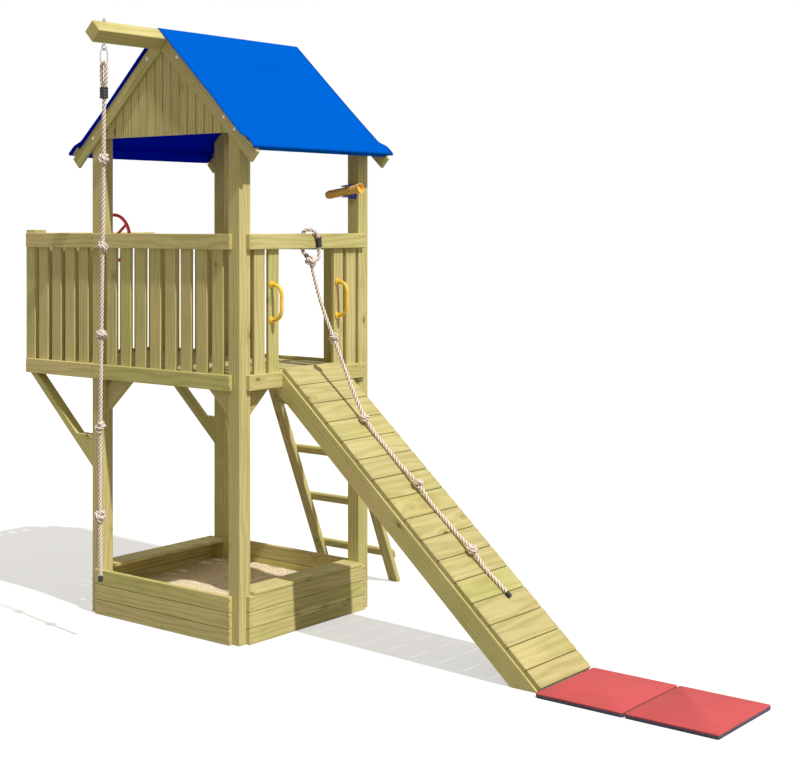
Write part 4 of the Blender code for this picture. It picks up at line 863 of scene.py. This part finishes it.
def mats():
    """Two crumb-rubber mats with a scalloped foot: red crumb on the top and upper sides, and a
    dark purple crumb on the lower sides and foot, which is painted shade.
    """
    red = granulate("red_crumb", (0.66, 0.096, 0.104), (0.48, 0.062, 0.068), (0.78, 0.2, 0.2))
    # Painted shade: this dark purple crumb stands for the shade on the mats' lower sides.
    dark = granulate("dark_crumb_painted_side_shade", (0.12, 0.11, 0.19), (0.045, 0.04, 0.075), (0.33, 0.35, 0.5))
    for number in range(2):
        low, high = (Vector(corner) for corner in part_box(f"mat_{number + 1}"))
        middle = (low + high) / 2
        corners = []
        for x, y, start in ((high.x, high.y, 0), (low.x, high.y, 90), (low.x, low.y, 180),
                            (high.x, low.y, 270)):
            centre = Vector((x + math.copysign(MAT_CORNER, middle.x - x),
                             y + math.copysign(MAT_CORNER, middle.y - y), 0))
            corners += [centre + around(MAT_CORNER, math.radians(start + a)) for a in (0, 45, 90)]
        outline = evenly([*corners, corners[0]], MAT_STEP)[:-1]
        centre = sum(outline, Vector()) / len(outline)
        shape = bmesh.new()
        rings = []
        for share, inset in MAT_LEVELS:
            ring = []
            for index, point in enumerate(outline):
                pull = inset + 0.0016 * (index % 2) * (share < SCALLOPED)
                rough = noise.noise(Vector((index * 0.7, share * 5, number))) + 1
                pull += 0.0005 * rough * (share < ROUGH)
                rise = Vector((0, 0, low.z + (high.z - low.z) * share + MAT_LIFT))
                ring.append(shape.verts.new(point + (centre - point).normalized() * pull + rise))
            rings.append(ring)
        # Rings from RED_FROM up are red; those below it, and the foot, take the painted-shade
        # crumb.
        for step, (first, second) in enumerate(zip(rings, rings[1:])):
            for face in band(shape, first, second):
                face.material_index = 0 if step >= RED_FROM else 1
        shape.faces.new(list(reversed(rings[0]))).material_index = 1
        shape.faces.new(rings[-1]).material_index = 0
        name = f"crumb_mat_{number + 1}"
        piece(name, as_mesh(name, shape, angle=50), [red, dark], "frame",
              [f"mat_{number + 1}"])


# ---- fastenings and small parts ----

SCREW, RAMP_SCREW, BOLT = 0.0045, 0.0042, 0.0085
RAIL_SCREWS_Z, UPPER_RAIL_FROM_Z = (1.468, 1.512, 2.273, 2.317), 2
RAIL_SCREW_X, SANDBOX_SCREW_X, SIDE_SCREW_Y, BOARD_SCREWS_Z = 0.012, 0.01, 0.068, (0.02, 0.07)
RAMP_SCREW_INSET, RAMP_SCREWS_Y = 0.032, (0.349, 0.817)
LADDER_HALF_DEPTH, RUNG_SCREW_X, RUNG_SCREW_PAIR = 0.035, 0.302, 0.013
BOLTS = ((-0.749, 3.382), (-1.243, 2.925), (-0.105, 3.009), (-0.022, 2.935), (-0.492, 3.377))
BOLT_OUT = 0.0203
SCOPE_PIVOT, SCOPE_TILT = Vector((-POST / 2, 0.9842, 2.6)), math.radians(8.5)
TUBE, COLLAR_SIDES = 0.0255, 28


def head(place, out, radius=SCREW):
    """A countersunk screw's head with its recess, standing just proud of the wood."""
    profile = [(0, -0.002), (radius * 0.6, -0.002), (radius, 0.0), (radius * 0.96, 0.0005),
               (radius * 0.45, 0.0006), (radius * 0.3, 0.0001), (0, 0.0)]
    return turned_form(profile, towards(Vector(place) + CORNER, out), 10)


def bolt(place, out):
    """A coach bolt: washer and domed head."""
    profile = [(0, -0.001), (BOLT * 1.25, -0.001), (BOLT * 1.25, 0.0012), (BOLT * 0.95, 0.0014),
               (BOLT * 0.9, 0.003), (BOLT * 0.6, 0.0052), (0, 0.006)]
    return turned_form(profile, towards(Vector(place) + CORNER, out), 16)


def fastenings():
    """Screws in the rails, sandbox, ramp boards and rungs, and bolts in the rafters."""
    screws = []
    boards_z = [board * SANDBOX_PITCH + z for board in range(SANDBOX_BOARDS)
                for z in BOARD_SCREWS_Z]
    for x in (-POST / 2, -WIDTH + POST / 2):
        for z in RAIL_SCREWS_Z:
            drop = REAR_RAIL_DROP * (z > UPPER_RAIL_FROM_Z)
            screws += [head((x - RAIL_SCREW_X, -BOARD, z), FRONT),
                       head((x + RAIL_SCREW_X, DEPTH + BOARD, z - drop), BACK)]
        for z in boards_z:
            screws += [head((x - SANDBOX_SCREW_X, -BOARD, z), FRONT),
                       head((x + SANDBOX_SCREW_X, DEPTH + BOARD, z), BACK)]
    for y in (SIDE_SCREW_Y, DEPTH - SIDE_SCREW_Y):
        for z in RAIL_SCREWS_Z:
            screws += [head((BOARD, y, z), RIGHT),
                       head((-WIDTH - BALCONY - BOARD, y, z), LEFT)]
        for z in boards_z:
            screws += [head((BOARD, y, z), RIGHT), head((-WIDTH - BOARD, y, z), LEFT)]
    up = (math.sin(RAMP_SLOPE), 0, math.cos(RAMP_SLOPE))
    for number in range(RAMP_BOARDS):
        start = number * RAMP_PITCH
        end = RAMP_LENGTH if number == RAMP_BOARDS - 1 else start + RAMP_PITCH - RAMP_GAP
        screws += [head(RAMP @ Vector((along, y, 0)) - CORNER, up, RAMP_SCREW)
                   for along in (start + RAMP_SCREW_INSET, end - RAMP_SCREW_INSET)
                   for y in RAMP_SCREWS_Y]
    fall = math.tan(LADDER_LEAN)
    foot = DEPTH + BOARD + GAP + LOW_RAIL_Z * fall + LADDER_HALF_DEPTH / math.cos(LADDER_LEAN)
    out = Vector((0, math.cos(LADDER_LEAN), math.sin(LADDER_LEAN)))
    for number in range(RUNGS):
        z = RUNG_FIRST_Z + number * RUNG_STEP
        place = Vector((0, foot - z * fall, z)) + out * (GAP + BOARD)
        screws += [head((LADDER_X + x + shift, place.y, place.z), out)
                   for x in (-RUNG_SCREW_X, RUNG_SCREW_X)
                   for shift in (-RUNG_SCREW_PAIR, RUNG_SCREW_PAIR)]
    bolts = [bolt((x, y, z), out) for x, z in BOLTS
             for y, out in ((-BOLT_OUT, FRONT), (DEPTH + BOLT_OUT, BACK))]
    dull, zinc = steel("dull_screws", (0.34, 0.31, 0.22), 0.55), steel("zinc_steel")
    piece("screw_heads", as_mesh("screw_heads", *screws), [dull], "frame")
    piece("roof_bolts", as_mesh("roof_bolts", *bolts), [zinc], "frame")


def toy_details():
    """The telescope's moulded collars and its lens."""
    ahead = Vector((math.cos(SCOPE_TILT), 0, math.sin(SCOPE_TILT)))
    base = towards(SCOPE_PIVOT + CORNER, ahead)
    collars = []
    for at, radius, width in ((-0.13, 0.0275, 0.014), (-0.075, 0.0272, 0.008),
                              (0.052, 0.0272, 0.008)):
        low, high = at - width / 2, at + width / 2
        profile = ((TUBE, low), (radius, low + 0.0015), (radius, high - 0.0015), (TUBE, high))
        shape = bmesh.new()
        rings = [[shape.verts.new(base @ around(r, a, h)) for a in circle(COLLAR_SIDES)]
                 for r, h in profile]
        for first, second in zip(rings, [*rings[1:], rings[0]]):
            band(shape, first, second)
        bmesh.ops.recalc_face_normals(shape, faces=shape.faces)
        collars.append(shape)
    lens = turned_form([(0, 0.0935), (0.026, 0.0935), (0.0262, 0.097), (0.018, 0.1005),
                        (0.009, 0.1022), (0, 0.1028)], base, COLLAR_SIDES)
    orange = plastic("collar_orange", (1.0, 0.52, 0.09), 0.3)
    yellow = plastic("lens_yellow", (0.95, 0.62, 0.16), 0.12)
    piece("telescope_collars", as_mesh("telescope_collars", *collars), [orange], "scope")
    piece("telescope_lens", as_mesh("telescope_lens", lens), [yellow], "scope")


# ---- materials of the CAD nodes ----

PROUD = 0.0009      # the rail of a railing begins this far outside the posts' faces


def dress(name, material):
    obj = NODES[name]
    obj.data.materials.clear()
    obj.data.materials.append(material)


def slats(span, count):
    """The pitch of slats spread evenly over a span, and half the gap between them."""
    gap = (span - count * SLAT) / (count + 1)
    return SLAT + gap, gap / 2


def dress_railings():
    right, front = CORNER.x, CORNER.y
    pitch, half = slats(WIDTH - 2 * POST, 8)
    balcony_pitch, balcony_half = slats(BALCONY - POST, 4)
    end_pitch, end_half = slats(DEPTH - 2 * POST, 7)
    start = -WIDTH + POST + half + right
    balcony_start = -WIDTH - BALCONY + POST + balcony_half + right
    for name, boards, outward in (
        ("railing_front", (RIGHT, start, pitch), -1),
        ("railing_ladder_side", (RIGHT, start, pitch), 1),
        ("railing_balcony_front", (RIGHT, balcony_start, balcony_pitch), -1),
        ("railing_balcony_rear", (RIGHT, balcony_start, balcony_pitch), 1),
    ):
        rail = ("X", (0, outward, 0), PROUD + outward * front + DEPTH * (outward > 0))
        dress(name, wood(name, "Z", boards, rail, seed=len(name) * 1.7))
    boards = (BACK, POST + end_half + front, end_pitch)
    rail = ("Y", LEFT, WIDTH + BALCONY + PROUD - right)
    dress("railing_balcony_end", wood("balcony_end", "Z", boards, rail, seed=4.4))
    boards = (BACK, POST + 0.015 + front, SLAT + 0.03)
    rail = ("Y", RIGHT, PROUD + right)
    dress("railing_ramp_side", wood("ramp_side", "Z", boards, rail, seed=8.2))


def dress_timber():
    """Pine of its own on each piece: names, grain, step and start of the seeds, and options."""
    right, front, up = CORNER.x, CORNER.y, (0, 0, 1)
    slope = (math.cos(RAMP_SLOPE), 0, -math.sin(RAMP_SLOPE))
    sandbox = {"boards": (up, -SANDBOX_GAP / 2, SANDBOX_PITCH)}
    gable = {"boards": (RIGHT, RIDGE_X + right, GABLE_PITCH), "joint": 0.0035, "tone": 0.98,
             "spot": 0.2}
    lean = leaning(-math.sin(LADDER_LEAN), math.cos(LADDER_LEAN), "X")
    few = {"spot": 0.3}
    for names, grain, step, start, options in (
        (("post_front_left", "post_front_right", "post_rear_left", "post_rear_right",
          "balcony_post_front", "balcony_post_rear"), "Z", 3.7, 1, few),
        (("low_rail_front", "low_rail_balcony_front"), "X", 5.1, 2, {}),
        (("ridge_beam", "eave_batten_left", "eave_batten_right", "seat_balcony_side",
          "seat_ramp_side"), "Y", 2.9, 7, few),
        (("gable_front", "gable_rear"), "Z", 31, 20.5, gable),
        (("sandbox_front", "sandbox_rear"), "X", 13.3, 4, sandbox),
        (("sandbox_ramp_side", "sandbox_balcony_side"), "Y", 17.9, 9, sandbox),
        (("ramp_stringer_near", "ramp_stringer_far"), leaning(slope[0], slope[2]), 9.4, 3, {}),
        (("ladder_rail_left", "ladder_rail_right"), lean, 4.3, 5, {}),
        (("balcony_brace_front", "balcony_brace_rear"), leaning(-0.61, 0.55), 8.8, 6, {}),
    ):
        for number, name in enumerate(names):
            dress(name, wood(name, grain, seed=step * number + start, **options))
    for end in ("front", "rear"):
        for hand, side in (("left", -1), ("right", 1)):
            name = f"rafter_{end}_{hand}"
            grain = leaning(side * math.cos(PITCH), -math.sin(PITCH))
            dress(name, wood(name, grain, seed=len(name) * 2.3 + side, spot=0.3))
    for number in range(RUNGS):
        rung = f"rung_{number + 1}"
        dress(f"ladder_{rung}", wood(rung, "X", seed=7.7 * number + 1))
    boards = (BACK, front + FLOOR_MARGIN, (DEPTH - 2 * FLOOR_MARGIN) / FLOOR_BOARDS)
    dress("floor_deck", wood("floor_deck", "X", boards, seed=6.1, tone=0.9))
    start = slope[0] * (RAMP_TOP.x + right) + slope[2] * RAMP_TOP.z - RAMP_GAP / 2
    dress("ramp_deck", wood("ramp_deck", "Y", (slope, start, RAMP_PITCH), seed=51.0, tone=0.84,
                            spot=0.2))
    for place, name, grain, seed in (
        ("front_left", "left", leaning(0.22, 0.2), 33),
        ("front_right", "right", leaning(-0.22, 0.2), 35),
        ("ramp_side", "ramp_side", leaning(0.22, 0.2, "X"), 38),
    ):
        dress(f"corner_brace_{place}", wood(f"brace_{name}", grain, seed=seed))


def dress_toys():
    yellow = plastic("handle_yellow", (1.0, 0.66, 0.06), 0.3)
    blue = plastic("bracket_blue", (0.045, 0.03, 0.42), 0.35)
    zinc = steel("fittings_steel")
    for name, material in (
        ("steering_wheel", plastic("wheel_red", (1.0, 0.05, 0.1), 0.25)),
        ("handle_near", yellow), ("handle_far", yellow),
        ("telescope_tube", plastic("scope_orange", (1.0, 0.60, 0.12), 0.3)),
        ("telescope_bracket", blue), ("telescope_yoke", blue), ("wheel_axle", zinc),
        ("eye_bolt", zinc), ("snap_hook", zinc), ("hook_gate", zinc),
    ):
        dress(name, material)


camera()
lights()
ground()
climbing_rope()
ramp_rope()
roof_sheet()
sand()
mats()
fastenings()
toy_details()
dress_railings()
dress_timber()
dress_toys()
